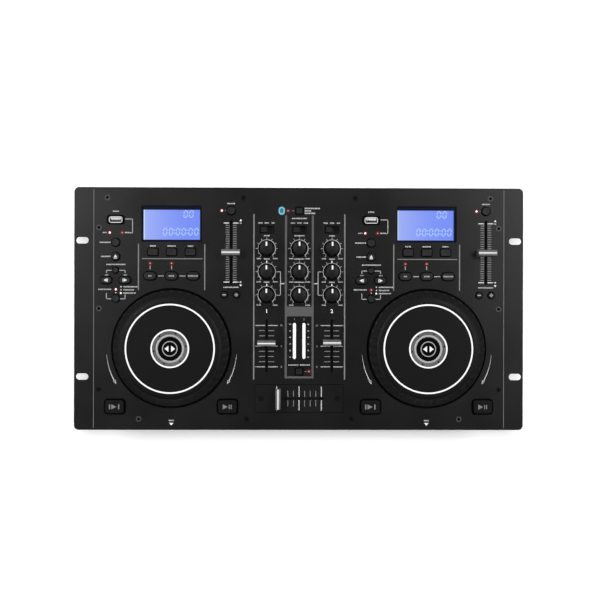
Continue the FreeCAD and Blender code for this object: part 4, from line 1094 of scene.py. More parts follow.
def shadeSwitchTracks():
    # painted shade: the switches' faces deeper than the track depth, inside their slots, are painted deep
    # black
    floor = panelTop - panelTrim["trackDepth"]
    for name in ("input_switch_1", "input_switch_2", "cue_switch"):
        paintFaces(nodes[name], "deepBlack", lambda centres: centres[:, 2] < floor)


def shadePanelEdge():
    # painted shade: the bevel round the face panel and its thin side, painted deep black
    low, high = nodeBox("face_panel")

    def chosen(centres):
        away = np.minimum(centres[:, :2] - low[:2], high[:2] - centres[:, :2]).min(1)
        height = centres[:, 2]
        return (away < panelTrim["edgeWidth"]) & (height < panelTop - 0.01) & (height > panelUnder - 0.1)

    paintFaces(nodes["face_panel"], "deepBlack", chosen)


wallLow, wallHigh = nodeBox("chassis")
wallTrim = {
    # places are x and height above the table
    "phonoColumns": (36.0, 56.0, 76.0, 96.0),
    "phonoHeights": (54.0, 40.0),
    "phonoRadius": 4.3,
    "phonoInsert": (1.75, 3.3),
    "insertDepth": (6.2, 6.46),  # how far out of the wall its two faces stand
    "ground": (8.0, 47.0, 4.8),
    "inletPins": ((-157.0, 45.5), (-143.0, 45.5), (-150.0, 49.5)),
    "pinSize": (2.2, 4.2),
    "jacks": ((-22.0, 46.0), (22.0, 46.0)),
    "boreRadius": 3.4,
    "legendHeight": 2.0,
    "backLegends": (
        (-41, -31, 64.5),
        (-61, -51, 64.5),
        (-81, -71, 64.5),
        (-101, -91, 64.5),
        (-28, -25, 54.0),
        (-28, -25, 40.0),
        (-13, -3, 38.0),
        (138, 162, 63.0),
        (141, 159, 31.0),
    ),
    "backLine": (-101.0, -31.0, 68.6, 0.5),
    "frontLegends": ((-28, -16, 33.0), (16, 28, 33.0)),
}
rocker = {
    "x": -186.0,
    "pivot": (119.0, 47.0),
    "face": 5.7,
    "angle": 8.0,
    "mark": 4.3,
    "bar": (0.45, 2.0),
    "ring": (1.3, 1.95),
}


def onBack(points):
    # a drawing read from behind: its x runs against the frame's, its y goes up, its z out of the back wall
    return np.column_stack([-points[:, 0], wallHigh[1] + points[:, 2], points[:, 1]])


def onFront(points):
    # a drawing read from the front: its y goes up and its z out of the front wall
    return np.column_stack([points[:, 0], wallLow[1] - points[:, 2], points[:, 1]])


def onRocker(points, half):
    # half is 1 on the upper face and -1 on the lower one; each leans out from the rocker's middle line by the
    # angle, and the whole rocker rests turned by half the angle about its pin
    lean = radians(rocker["angle"])
    out = rocker["face"] + half * points[:, 1] * sin(lean) + points[:, 2] * cos(lean)
    up = points[:, 1] * cos(lean) - half * points[:, 2] * sin(lean)
    rest = lean / 2
    pivotY, pivotZ = rocker["pivot"]
    y = pivotY + out * cos(rest) - up * sin(rest)
    z = pivotZ + out * sin(rest) + up * cos(rest)
    return np.column_stack([rocker["x"] - points[:, 0], y, z])


def nearPlace(centres, x, z, reach):
    # faces whose distance from the line through x and z, which runs from front to back, is under reach
    return np.hypot(centres[:, 0] - x, centres[:, 2] - z) < reach


def finishConnectors():
    rear = nodes["rear_connectors"]
    front = nodes["front_sockets"]
    backFace = wallHigh[1] + 0.05
    frontFace = wallLow[1] - 0.05
    phonoPlaces = [(x, z) for x in wallTrim["phonoColumns"] for z in wallTrim["phonoHeights"]]
    width, height = wallTrim["pinSize"]

    def nearAny(places, reach):
        return lambda centres: np.any([nearPlace(centres, x, z, reach) for x, z in places], 0)

    nearPhono = nearAny(phonoPlaces, wallTrim["phonoRadius"])

    def metal(centres):
        outside = centres[:, 1] > backFace
        chosen = (nearPlace(centres, *wallTrim["ground"]) | nearPhono(centres)) & outside
        for x, z in wallTrim["inletPins"]:
            pin = (abs(centres[:, 0] - x) < width / 2) & (abs(centres[:, 2] - z) < height / 2)
            chosen |= pin & ~outside
        return chosen

    paintFaces(rear, "nickelMetal", metal)
    paintFaces(rear, "deepBlack", nearAny(phonoPlaces, wallTrim["phonoInsert"][0]))
    paintFaces(front, "nickelMetal", lambda centres: centres[:, 1] < frontFace)
    paintFaces(front, "deepBlack", nearAny(wallTrim["jacks"], wallTrim["boreRadius"]))


def makeWallTrim():
    for name, place in (("back", onBack), ("front", onFront)):
        ink = FlatMarks(0.0)
        for index, (x0, x1, z) in enumerate(wallTrim[name + "Legends"]):
            ink.legend(x0, x1, z, wallTrim["legendHeight"], 400 + index)
        if name == "back":
            ink.across(*wallTrim["backLine"])
        points, faces = merged(ink.shapes)
        addPiece(name + "Legends", (place(points), faces), "softInk")
    inner, outer = wallTrim["phonoInsert"]
    low, high = wallTrim["insertDepth"]
    for z, plastic in zip(wallTrim["phonoHeights"], ("whitePlastic", "redPlastic")):
        rings = [ringBand(-x, z, inner, outer, low, high, 32) for x in wallTrim["phonoColumns"]]
        points, faces = merged(rings)
        addPiece(plastic + "Inserts", (onBack(points), faces), plastic)
    half, reach = rocker["bar"]
    mark = rocker["mark"]
    points, faces = bar(-half, half, mark - reach, mark + reach, -0.05, 0.05)
    ringPoints, ringFaces = ringBand(0.0, -mark, *rocker["ring"], -0.05, 0.05, 24)
    placed = [(onRocker(points, 1), faces), (onRocker(ringPoints, -1), ringFaces)]
    addPiece("power_switch.marks", merged(placed), "whiteInk", body="power_switch")


discSlot = {
    "height": 34.8,
    "size": (126.4, 6.0),
    "frame": (131.6, 11.0),
    "turns": (0.3, 2.2),
    "depth": (-0.05, 0.7),
}


def makeSlotFrames():
    # moulded frame round the opening of each disc slot
    outlines = [discSlot[key] for key in ("frame", "size", "turns")]
    places = [(middle, discSlot["height"]) for middle in deckMiddle.values()]
    points, faces = merged([rimPlate(place, *outlines, *discSlot["depth"]) for place in places])
    addPiece("slotFrames", (onFront(points), faces), "blackPlastic", 30)


finishNodes()
finishConnectors()
makeWallTrim()
makeSlotFrames()
shadeSwitchTracks()
shadePanelEdge()
makePanelTrim()
print("housing finished")


# keys
keyGapShade = {"clear": 0.45, "deck": 0.4, "mixer": 0.75, "play": 0.5, "low": 0.01, "high": 0.04}
switchGapShade = {"size": (14.1, 7.0), "y": 85.1, "width": 0.7, "turns": (0.2, 0.8)}
keyShape = {"skirt": 1.2, "inset": 0.95, "drop": 0.6, "dish": 0.15}
keyCaps = {
    # name: width, depth and corner of each cap, places of the caps, rise above the panel
    "select_button": ((8.8, 8.8, 4.4), ((-59.8, 70.9),), 1.8),
    "eject_button": ((8.8, 8.8, 4.4), ((-59.8, 55.8),), 1.8),
    "plus_ten_button": ((6.6, 6.6, 3.3), ((-60.0, 41.1),), 1.8),
    "search_buttons": ((12.5, 7.8, 3.9), ((-69.9, 30.4), (-49.9, 30.4)), 1.8),
    "jog_mode_button": ((8.0, 8.0, 4.0), ((-59.6, 10.8),), 1.8),
    "display_buttons": ((11.0, 8.0, 1.6), ((-20.0, 60.7), (0.0, 60.7), (20.2, 60.7)), 1.6),
    "loop_buttons": ((13.6, 8.6, 4.3), ((-23.0, 35.0), (0.0, 35.0), (23.0, 35.0)), 1.8),
    "pitch_button": ((9.0, 9.0, 4.5), ((63.7, 105.3),), 1.8),
    "bend_buttons": ((6.8, 6.8, 3.4), ((56.5, 14.9), (69.5, 14.9)), 1.8),
    "cue_button": ((20.4, 14.5, 3.0), ((-60.3, -105.0),), 3.0),
    "play_button": ((20.4, 14.5, 3.0), ((60.3, -105.0),), 3.0),
}
mixerCaps = {
    "pairing_button": ((7.0, 7.0, 0.8), ((0.0, 105.3),), 1.2),
    "fader_start_button": ((7.0, 7.0, 0.8), ((0.0, -67.4),), 1.2),
}


def keyLevels(rise):
    # straight skirt, then a quarter ellipse from the side over to the top edge
    turn = np.linspace(0, pi / 2, 6)
    top = panelTop + rise
    inset, drop = keyShape["inset"], keyShape["drop"]
    rounded = [(inset * (1 - cos(a)), top - drop * (1 - sin(a))) for a in turn]
    return [(0.0, panelUnder - keyShape["skirt"])] + rounded


def makeKey(name, size, places, rise, middle):
    width, depth, corner = size
    levels = keyLevels(rise)
    dish = keyShape["dish"]
    shapes = [capSurface((middle + x, y), (width, depth), corner, levels, dish, 8) for x, y in places]
    plastic = "playKeyPlastic" if rise > 2 else "keyPlastic"
    cap = addPiece(name + ".caps", merged(shapes), plastic, 40, (name,), name)
    # painted shade: the cap's rounded edge and skirt, below its dished top, are painted deep black
    edge = panelTop + rise - dish - 0.02
    paintFaces(cap, "deepBlack", lambda centres: centres[:, 2] < edge)


def capInk(rise):
    # glyphs sit on the dished top, so they reach a little further down
    return FlatMarks(panelTop + rise - keyShape["dish"], 0.12, 0.1)


keyGlyphs = {
    # name: x, y, ink, shapes
    "eject_button": (-59.8, 55.8, "brightKeyInk", (("up", 0.0, 0.6, 3.6, 3.0), ("bar", 0.0, -1.9, 3.6, 0.8))),
    "search_buttons": (-59.9, 30.4, "brightKeyInk", (
        ("left", -10.8, 0.0, 3.5, 3.7),
        ("bar", -8.2, 0.0, 0.7, 3.4),
        ("right", 10.8, 0.0, 3.5, 3.7),
        ("bar", 8.2, 0.0, 0.7, 3.4),
    )),
    "bend_buttons": (63.0, 14.9, "keyInk", (
        ("bar", -6.5, 0.0, 3.4, 1.1),
        ("bar", 6.5, 0.0, 3.4, 1.1),
        ("bar", 6.5, 0.0, 1.1, 3.4),
    )),
    "cue_button": (-60.3, -105.0, "lineInk", (
        ("bar", -5.2, 0.0, 1.4, 5.2),
        ("right", -0.6, 0.0, 5.4, 5.4),
        ("bar", 4.6, 0.0, 1.4, 5.2),
    )),
    "play_button": (60.3, -105.0, "lineInk", (
        ("right", -2.3, 0.0, 5.2, 5.4),
        ("bar", 2.0, 0.0, 1.0, 4.6),
        ("bar", 4.1, 0.0, 1.0, 4.6),
    )),
    "loop_buttons": (0.0, 35.0, "keyInk", (
        (300, -23.0, 0.0, 3.2, 1.5),
        (301, 0.0, 0.0, 5.6, 1.5),
        (302, 23.0, 0.0, 10.8, 1.5),
    )),
}


def makeKeys():
    for side, middle in deckMiddle.items():
        for key, (size, places, rise) in keyCaps.items():
            body = side + "_" + key
            makeKey(body, size, places, rise, middle)
            if key in keyGlyphs:
                x, y, inkName, shapes = keyGlyphs[key]
                ink = capInk(rise)
                ink.draw(middle + x, y, shapes)
                ink.make(body + ".print", inkName, body)
    for key, (size, places, rise) in mixerCaps.items():
        makeKey(key, size, places, rise, 0.0)


def makeKeyShadeRings():
    # dark lines of painted shade round the holes of the keys and of the sliding switches, where the gaps
    # round them lie in shade
    rings = []
    clear = keyGapShade["clear"]
    low, high = panelTop + keyGapShade["low"], panelTop + keyGapShade["high"]
    groups = [(middle, keyCaps, keyGapShade["deck"]) for middle in deckMiddle.values()]
    groups.append((0.0, mixerCaps, keyGapShade["mixer"]))
    for middle, caps, thick in groups:
        for (width, depth, corner), places, rise in caps.values():
            line = keyGapShade["play"] if rise > 2 else thick
            inner = (width + 2 * clear, depth + 2 * clear)
            outer = (inner[0] + 2 * line, inner[1] + 2 * line)
            turns = (corner + clear, corner + clear + line)
            rings += [rimPlate((middle + x, y), outer, inner, turns, low, high) for x, y in places]
    width, depth = switchGapShade["size"]
    line = switchGapShade["width"]
    outer = (width + 2 * line, depth + 2 * line)
    for x in mixerPrint["columns"]:
        place = (x, switchGapShade["y"])
        rings.append(rimPlate(place, outer, (width, depth), switchGapShade["turns"], low, high))
    addPiece("keyShadeRings", merged(rings), "deepBlack")


makeKeys()
makeKeyShadeRings()
print("keys made")


# jog wheels
jog = {
    "shoulder": 54.0,
    "shoulderDrop": 0.9,
    "skirtHeight": 2.4,
    "skirtDepth": 4.0,
    "wall": 2.2,
    "flat": 49.5,
    "ring": (46.05, 47.65),
    "hubRing": (18.8, 20.4),
    "band": (12.7, 18.4),
    "bandDepth": 0.8,
    "bead": (12.85, 15.1),
    "specks": (6, 9.0, 17.2, 0.95),  # how many, turn of the first one in degrees, distance, radius
    "emblemRing": (7.3, 8.15),
    "emblem": (("left", -3.5, 0.0, 4.2, 6.6), ("right", 3.5, 0.0, 4.2, 6.6)),
    "hub": 9.0,
    "bevel": 0.3,
    "lip": 0.15,
    "inlay": (0.3, 0.06),  # how far a white ring reaches into the top, and stands above it
    "gripCount": 40,
    "gripDepth": 0.75,
    "gripRise": (0.12, 0.9, 0.08),  # shares of the side's rise: start, end, and length of each flank
    "gripWave": (0.42, 0.2),  # level of the wave where a notch starts, and from there to its full depth
    "columns": 480,
}


def jogProfile():
    # from under the hub out under the top, down and round the skirt, up the straight sloping side, over the
    # shoulder, whose height falls with the square of the way out, and in to the middle
    top = jogTop
    wall, bevel, lip = jog["wall"], jog["bevel"], jog["lip"]
    shoulder, drop = jog["shoulder"], jog["shoulderDrop"]
    skirt = jog["skirtHeight"]
    low = panelTop - jog["skirtDepth"]
    inner = [
        (jog["hub"], low),
        (jog["hub"], top - wall),
        (shoulder - wall, top - wall),
        (jogRadius - wall, panelTop + skirt - wall / 2),
        (jogRadius - wall, low),
        (jogRadius - bevel, low),
        (jogRadius, low + bevel),
        (jogRadius, panelTop),
        (jogRadius, panelTop + skirt * 0.7),
        (jogRadius - lip, panelTop + skirt * 0.9),
    ]
    foot, head = np.array([(jogRadius, panelTop + skirt), (shoulder, top - drop)])
    slope = [tuple(foot + (head - foot) * share) for share in np.linspace(0.03, 0.97, 26)]
    turn = np.linspace(0.12, 1, 6)
    over = [(shoulder - (shoulder - jog["flat"]) * s, top - drop * (1 - s) ** 2) for s in turn]
    innerBand, outerBand = jog["band"]
    depth = jog["bandDepth"]
    middle = [
        (jog["flat"] - 0.6, top),
        (30.0, top),
        (outerBand + 1.0, top),
        (outerBand + lip, top),
        (outerBand, top - 0.1),
        (outerBand, top - depth / 3),
        (innerBand, top - depth),
        (innerBand, top - 0.1),
        (innerBand - lip, top),
        (innerBand - 1.0, top),
        (3.0, top),
    ]
    return np.array(inner + slope + over + middle)


def gripDepths(profile, angle):
    # notch depth: a pulse up the sloping side, with straight flanks, times a pulse round the wheel,
    # which is 3 t squared - 2 t cubed of the clipped cosine of the angle times the number of notches
    low = panelTop + jog["skirtHeight"]
    high = jogTop - jog["shoulderDrop"]
    rise = (profile[:, 1] - low) / (high - low)
    outside = profile[:, 0] > jog["shoulder"] - 0.5
    start, end, flank = jog["gripRise"]
    up = np.clip((rise - start) / flank, 0, 1) * np.clip((end - rise) / flank, 0, 1) * outside
    wave = 0.5 + 0.5 * np.cos(angle * jog["gripCount"])
    level, reach = jog["gripWave"]
    around = np.clip((wave - level) / reach, 0, 1)
    around = around * around * (3 - 2 * around)
    return jog["gripDepth"] * up[:, None] * around[None, :]


def makeJog(side):
    middle = deckMiddle[side]
    body = side + "_jog_wheel"
    makeJogShell(middle, body)
    sink, rise = jog["inlay"]
    for label in ("ring", "hubRing"):
        inlay = ringBand(middle, jogY, *jog[label], jogTop - sink, jogTop + rise, 192)
        addPiece(body + "." + label, inlay, "ringInlay", 30, body=body)
    makeJogBand(middle, body)
    disc = FlatMarks(jogTop, 0.03, 0.1)
    disc.dot(middle, jogY, jog["band"][0] - 0.4, 96)
    disc.make(body + ".hubDisc", "deepBlack", body)
    ring = FlatMarks(jogTop, 0.06, 0.1)
    ring.shapes.append(ringBand(middle, jogY, *jog["emblemRing"], ring.low, ring.high, 96))
    ring.make(body + ".emblemRing", "softInk", body)
    arrows = FlatMarks(jogTop, 0.07, 0.1)
    arrows.draw(middle, jogY, jog["emblem"])
    arrows.make(body + ".emblem", "whiteInk", body)
    speck = FlatMarks(jogTop - jog["bandDepth"] * 0.5, 0.14, 0.1)
    count, first, reach, radius = jog["specks"]
    for turn in np.radians(first + np.arange(count) * 360 / count):
        speck.dot(middle + reach * cos(turn), jogY + reach * sin(turn), radius, 12)
    speck.make(body + ".specks", "deepBlack", body)


def makeJogShell(middle, body):
    # the turned profile, pushed in at right angles to the sloping side by the notch depth
    profile = jogProfile()
    angle = np.linspace(0, 2 * pi, jog["columns"], endpoint=False)
    depth = gripDepths(profile, angle)
    rise = jogTop - jog["shoulderDrop"] - panelTop - jog["skirtHeight"]
    slope = np.array([rise, jogRadius - jog["shoulder"]])
    slope /= np.linalg.norm(slope)
    radius = profile[:, 0][:, None] - depth * slope[0]
    height = profile[:, 1][:, None] - depth * slope[1]
    rings = np.stack([middle + radius * np.cos(angle), jogY + radius * np.sin(angle), height], -1)
    shape = closedRings(rings, (middle, jogY, profile[0, 1]), (middle, jogY, profile[-1, 1]))
    wheel = addPiece(body + ".shell", shape, "jogPlastic", 35, (body,), body)

    def beyond(reach):
        def chosen(centres):
            away = np.hypot(centres[:, 0] - middle, centres[:, 1] - jogY)
            return (away > reach) & (centres[:, 2] > panelTop)

        return chosen

    paintFaces(wheel, "jogRubber", beyond(jog["shoulder"] - 0.3))
    # painted shade: the outermost 1.4 mm of the wheel above the panel, by the gap round it, is painted deep
    # black
    paintFaces(wheel, "deepBlack", beyond(jogRadius - 1.4))


def makeJogBand(middle, body):
    # sunk band that slopes up outward, and the half-round bead inside it
    inner, outer = jog["band"]
    low = jogTop - jog["bandDepth"]
    high = jogTop - jog["bandDepth"] / 3
    near, far = inner + 0.05, outer - 0.05
    section = [(near, low - 0.3), (far, low - 0.3), (far, high + 0.05), (near, low + 0.05)]
    addPiece(body + ".band", turnedBand(middle, jogY, section, 128), "bandMetal", 30, body=body)
    inner, outer = jog["bead"]
    ridge = (inner + outer) / 2
    turn = np.linspace(pi, 0, 9)
    bead = [(ridge - (outer - inner) / 2 * cos(a), jogTop - 0.35 + 0.4 * sin(a)) for a in turn]
    bead += [(inner, jogTop - 0.9), (outer, jogTop - 0.9)]
    addPiece(body + ".bead", turnedBand(middle, jogY, bead, 128), "beadMetal", 50, body=body)


for side in deckMiddle:
    makeJog(side)
print("jog wheels made")


# knobs
knob = {
    "radius": 8.0,
    "topRadius": 6.9,
    "lift": 0.8,
    "height": 13.5,
    "skirt": 2.6,
    "flutes": 30,
    "fluteDepth": 0.16,
    "columns": 120,
    "fluteRise": (6, 1.02, 8),  # slope where the flutes start, share where they end, slope there
    "bore": 5.5,
    "footInset": 0.5,
    "pointerWidth": 1.7,
    "pointerLength": 4.8,
    "dome": 0.7,
    "edge": 0.9,
}
knobPlaces = {
    "gain_knob_1": (-35.0, 64.8),
    "treble_knob_1": (-35.0, 39.8),
    "bass_knob_1": (-35.0, 14.9),
    "cue_volume_knob": (0.0, 64.8),
    "mic_volume_knob": (0.0, 39.8),
    "master_knob": (0.0, 14.9),
    "gain_knob_2": (35.0, 64.8),
    "treble_knob_2": (35.0, 39.8),
    "bass_knob_2": (35.0, 14.9),
}


def makeKnob(name, x, y):
    # collar, straight tapering side with shallow cosine flutes, quarter-round edge, and a top that falls
    # with the square of the way out
    radius, topRadius, edge = knob["radius"], knob["topRadius"], knob["edge"]
    low = panelTop + knob["lift"]
    high = low + knob["height"] - 0.08
    rim = high - knob["dome"]
    skirt = low + knob["skirt"]
    lowSide, highSide = skirt + 0.4, rim - edge
    foot = radius - knob["footInset"]
    flat = topRadius - edge
    profile = [(knob["bore"], low), (radius - 0.2, low), (radius, low + 0.2)]
    profile += [(radius, skirt - 0.5), (radius - 0.15, skirt)]
    for s in np.linspace(0, 1, 8):
        profile.append((foot + (topRadius - foot) * s, lowSide + (highSide - lowSide) * s))
    profile += [(flat + edge * cos(a), highSide + edge * sin(a)) for a in np.linspace(0, pi / 2, 6)[1:]]
    profile += [(flat * s, rim + knob["dome"] * (1 - s * s)) for s in np.linspace(1, 0, 8)[1:-1]]
    profile = np.array(profile)
    rings = turned(profile, 0.0, 0.0, knob["columns"])
    rise = (profile[:, 1] - lowSide) / (highSide - lowSide)
    lowSlope, end, highSlope = knob["fluteRise"]
    fluted = np.clip(rise * lowSlope, 0, 1) * np.clip((end - rise) * highSlope, 0, 1)
    fluted *= profile[:, 0] > topRadius - 0.5
    angle = np.linspace(0, 2 * pi, knob["columns"], endpoint=False)
    wave = 0.5 + 0.5 * np.cos(angle * knob["flutes"])
    drawnIn = knob["fluteDepth"] * fluted[:, None] * wave[None, :] / profile[:, 0][:, None]
    rings[:, :, :2] *= (1 - drawnIn)[:, :, None]
    rings += (x, y, 0.0)
    shape = closedRings(rings, (x, y, low), (x, y, high))
    shell = addPiece(name + ".shell", shape, "knobPlastic", 35, (name,), name)
    # painted shade: the knob's side, below its rounded top edge, gets the darker copy of its plastic
    paintFaces(shell, "knobSide", lambda centres: centres[:, 2] < highSide + 0.3 * edge)
    ink = FlatMarks(high, 0.05, 0.9)
    half = knob["pointerWidth"] / 2
    ink.bar(x - half, x + half, y + topRadius - knob["pointerLength"], y + topRadius - 0.5)
    ink.make(name + ".pointer", "whiteInk", name)


for name, (x, y) in knobPlaces.items():
    makeKnob(name, x, y)
print("knobs made")


# faders
faderShape = {
    "lift": 0.8,
    "height": 11.2,
    "dip": 1.3,
    "waist": 0.68,
    "shoulder": 0.86,
    "lip": 0.8,
    "foot": (0.25, 0.3, 1.6),  # inset and height of its bevel, height of the foot
    "waistHeight": 0.5,  # share of the cap's height
    "lineWidth": 1.15,
    "ends": ((0.5, 0.9), (0.49, 0.965), (0.475, 1.0)),  # share of the length from the middle, scale there
    "lever": (0.6, 2.2, 4.0),  # half thickness, half depth, reach into the cap
}
faders = {
    # name: length across the slot, width along it
    "left_pitch_slider": (19.8, 7.3),
    "right_pitch_slider": (19.8, 7.3),
    "channel_fader_1": (19.4, 6.5),
    "channel_fader_2": (19.4, 6.5),
    "crossfader": (21.6, 5.9),
}


def faderOutline(width):
    # section across the cap: flared foot, side that nears the waist with the square of the way left,
    # two lips, and between them a dip that falls as 1 - v squared
    half = width / 2
    high = faderShape["height"]
    waist, foot, lip = (half * faderShape[key] for key in ("waist", "shoulder", "lip"))
    inset, bevel, footHeight = faderShape["foot"]
    waistHeight = high * faderShape["waistHeight"]
    side = [(half - inset, 0.0), (half, bevel), (foot, footHeight)]
    for t in np.linspace(0, 1, 7)[1:-1]:
        side.append((waist + (foot - waist) * (1 - t) ** 2, footHeight + (waistHeight - footHeight) * t))
    side += [(waist, waistHeight), (waist + (lip - waist) * 0.6, high * 0.8)]
    side += [(lip, high - 0.5), (lip - 0.18, high - 0.08)]
    dip = [((0.4 - lip) * v, high - faderShape["dip"] * (1 - v * v)) for v in np.linspace(-1, 1, 15)]
    return np.array(side + dip + [(-a, b) for a, b in reversed(side)])


def makeFader(name, length, width):
    # the section swept along the cap, a little smaller at its ends; the crossfader is turned a quarter
    low, high = nodeBox(name)
    middle = (low + high) / 2
    base = panelTop + faderShape["lift"]
    outline = faderOutline(width)
    ends = faderShape["ends"]
    rings = []
    for place, scale in [(-share, scale) for share, scale in ends] + list(ends[::-1]):
        height = base + outline[:, 1] * (1 - (1 - scale) * 0.35)
        rings.append(np.column_stack([np.full(len(outline), place * length), outline[:, 0] * scale, height]))
    poleHeight = base + faderShape["height"] * 0.45
    cap = closedRings(np.array(rings), (-length / 2, 0, poleHeight), (length / 2, 0, poleHeight))
    lineHeight = base + faderShape["height"] - faderShape["dip"]
    half = faderShape["lineWidth"] / 2
    stripe = bar(-length / 2 + 0.3, length / 2 - 0.3, -half, half, lineHeight - 0.6, lineHeight + 0.12)
    halfThick, halfDepth, reach = faderShape["lever"]
    lever = bar(-halfThick, halfThick, -halfDepth, halfDepth, low[2], base + reach)
    pieces = (
        (".cap", cap, "faderPlastic", 30, (name,)),
        (".line", stripe, "whiteInk", None, ()),
        (".lever", lever, "zincSheet", None, (name,)),
    )
    for label, (points, faces), finishName, smooth, replaced in pieces:
        if name == "crossfader":
            points = points[:, [1, 0, 2]] * (-1, 1, 1)
        shape = (points + (middle[0], middle[1], 0.0), faces)
        addPiece(name + label, shape, finishName, smooth, replaced, name)


for name, (length, width) in faders.items():
    makeFader(name, length, width)
print("faders made")


# displays, sockets and lamps
display = {
    "y": 91.0,
    "window": (64.5, 39.0),
    "screen": (60.2, 33.8),
    "leftReach": 1.0,
    "drop": 7.0,
    "wall": 3.0,
    "colors": (linear(122, 148, 254), linear(165, 182, 255)),
    "strength": 0.92,
    "digit": (3.6, 7.0, 1.15),  # width, height, stroke
    "topBand": 1.3,
    "trackDigits": (14.2, 20.4),
    "trackY": 11.1,
    "timeDigits": (-7.9, -1.7, 5.8, 12.0, 19.5, 25.7),
    "timeY": -8.0,
    "colons": (2.0, 15.7),
    "colonDot": (1.8, 0.65),
    "edgeWidth": 1.4,
}


def drawZero(ink, x, y):
    # the six outer bars of a seven-bar numeral, leaning slightly: x grows with height by a twelfth
    width, height, stroke = display["digit"]
    half, gap, thick = height / 2, stroke / 2, stroke / 2
    bars = [(-width / 2 + gap, width / 2 - gap, v - thick, v + thick) for v in (half, -half)]
    for u in (-width / 2, width / 2):
        bars += [(u - thick, u + thick, gap, half - gap), (u - thick, u + thick, gap - half, -gap)]
    for x0, x1, y0, y1 in bars:
        ink.polygon([(x + px + py / 12, y + py) for px, py in ((x0, y0), (x1, y0), (x1, y1), (x0, y1))])


def makeDisplay(side):
    # backlit screen, and a frame that slopes from it out to the window
    middle = deckMiddle[side]
    y = display["y"]
    width, depth = display["screen"]
    left, right = middle - width / 2, middle + width / 2
    top = panelTop - display["drop"]
    wall, band, reach = display["wall"], display["topBand"], display["leftReach"]
    screen = bar(left - wall, right + wall, y - depth / 2 - wall, y + depth / 2 + wall, boardTop, top)
    finish[side + "ScreenGlow"] = screenFinish(side, left, right)
    addPiece(side + "Screen", screen, side + "ScreenGlow", None, ("display_modules",))
    near, far = y - depth / 2, y + depth / 2 - band
    inner = np.array([(left - reach, near), (right, near), (right, far), (left - reach, far)])
    halfWindow = np.array(display["window"]) / 2 + wall
    outer = np.array([(-1, -1), (1, -1), (1, 1), (-1, 1)]) * halfWindow + (middle, y)
    walls = ((inner, top), (outer, top), (outer, panelUnder), (inner, panelUnder))
    frameShape = closedLoops(np.array([atHeight(loop, height) for loop, height in walls]))
    addPiece(side + "ScreenFrame", frameShape, "frameBlue", None, ("display_modules",))
    ink = FlatMarks(top, 0.06, 0.02)
    for x in display["trackDigits"]:
        drawZero(ink, middle + x, y + display["trackY"])
    for x in display["timeDigits"]:
        drawZero(ink, middle + x, y + display["timeY"])
    offset, radius = display["colonDot"]
    for x in display["colons"]:
        for sign in (-1, 1):
            ink.dot(middle + x, y + display["timeY"] + sign * offset, radius, 12)
    ink.make(side + "ScreenDigits", "digitGlow")
    edge = FlatMarks(top, 0.06, 0.02)
    edge.bar(left - reach, left - reach + display["edgeWidth"], near, far)
    edge.make(side + "ScreenEdge", "edgeGlow")


def screenFinish(side, left, right):
    # backlight: pale at the left edge and falling off to the right with the square of the distance left
    material, tree, shader = newMaterial(side + "ScreenGlow")
    share = rangeNode(tree, objectAxes(tree)["X"], 1.0, 0.0, left * mm, right * mm)
    color = mixColor(tree, mathNode(tree, "MULTIPLY", share, share), *display["colors"])
    tree.links.new(color, shader.inputs["Emission Color"])
    shader.inputs["Emission Strength"].default_value = display["strength"]
    shader.inputs["Base Color"].default_value = gray(8)
    shader.inputs["Roughness"].default_value = 0.3
    return material


lamps = {
    "radius": 1.5,
    # inner and outer radius of the painted glow ring on the panel round each lens
    "rim": (0.8, 2.4),
    "coreRadius": 1.05,
    "dimCoreRadius": 0.75,
    "deck": ((-66.2, 81.4), (-52.9, 81.4), (-59.6, 20.5), (-23.0, 48.5), (0.0, 48.5), (53.7, 105.3)),
    "dim": {"left": (1, 3, 4), "right": (1, 2, 3, 4)},  # which of the deck's lamps are dim
    "mixer": ((-12.3, 105.3), (10.6, -67.2)),
    "rise": 0.4,
    "pairing": (-19.0, 105.3),
    "pairingLens": (6.6, 8.6),
    "pairingHalo": (8.6, 10.6),
    "pairingCore": (3.6, 5.6),
    "meter": (5.1, -34.45),
    "meterLens": (4.4, 39.7),
    "meterLight": (3.25, 38.6),
}


def lampShape(x, y, radius, low, high):
    # dome: a quarter circle squashed to the lens's rise
    base = high - lamps["rise"]
    turn = np.linspace(0, pi / 2, 6)[:-1]
    profile = [(radius, low)] + [(radius * cos(a), base + lamps["rise"] * sin(a)) for a in turn]
    return lathe(profile, x, y, 24)


def makeLamps():
    rims = []
    lit = []
    dim = []
    places = [(x, y, True) for x, y in lamps["mixer"]]
    for side, middle in deckMiddle.items():
        places += [(middle + x, y, index in lamps["dim"][side]) for index, (x, y) in enumerate(lamps["deck"])]
    for x, y, isDim in places:
        rims.append(lampShape(x, y, lamps["radius"], boardTop, panelTop + 0.2))
        # painted light: a glowing ring on the panel round each lens, the spill of its light
        rims.append(ringBand(x, y, *lamps["rim"], panelTop + 0.01, panelTop + 0.12, 32))
        radius = lamps["dimCoreRadius" if isDim else "coreRadius"]
        (dim if isDim else lit).append(lampShape(x, y, radius, panelTop - 0.5, panelTop + lamps["rise"]))
    addPiece("lampLensesAndHalos", merged(rims), "redRim", 40, ("indicator_lamps",))
    addPiece("litLamps", merged(lit), "lampCore", 40)
    addPiece("dimLamps", merged(dim), "dimCore", 40)


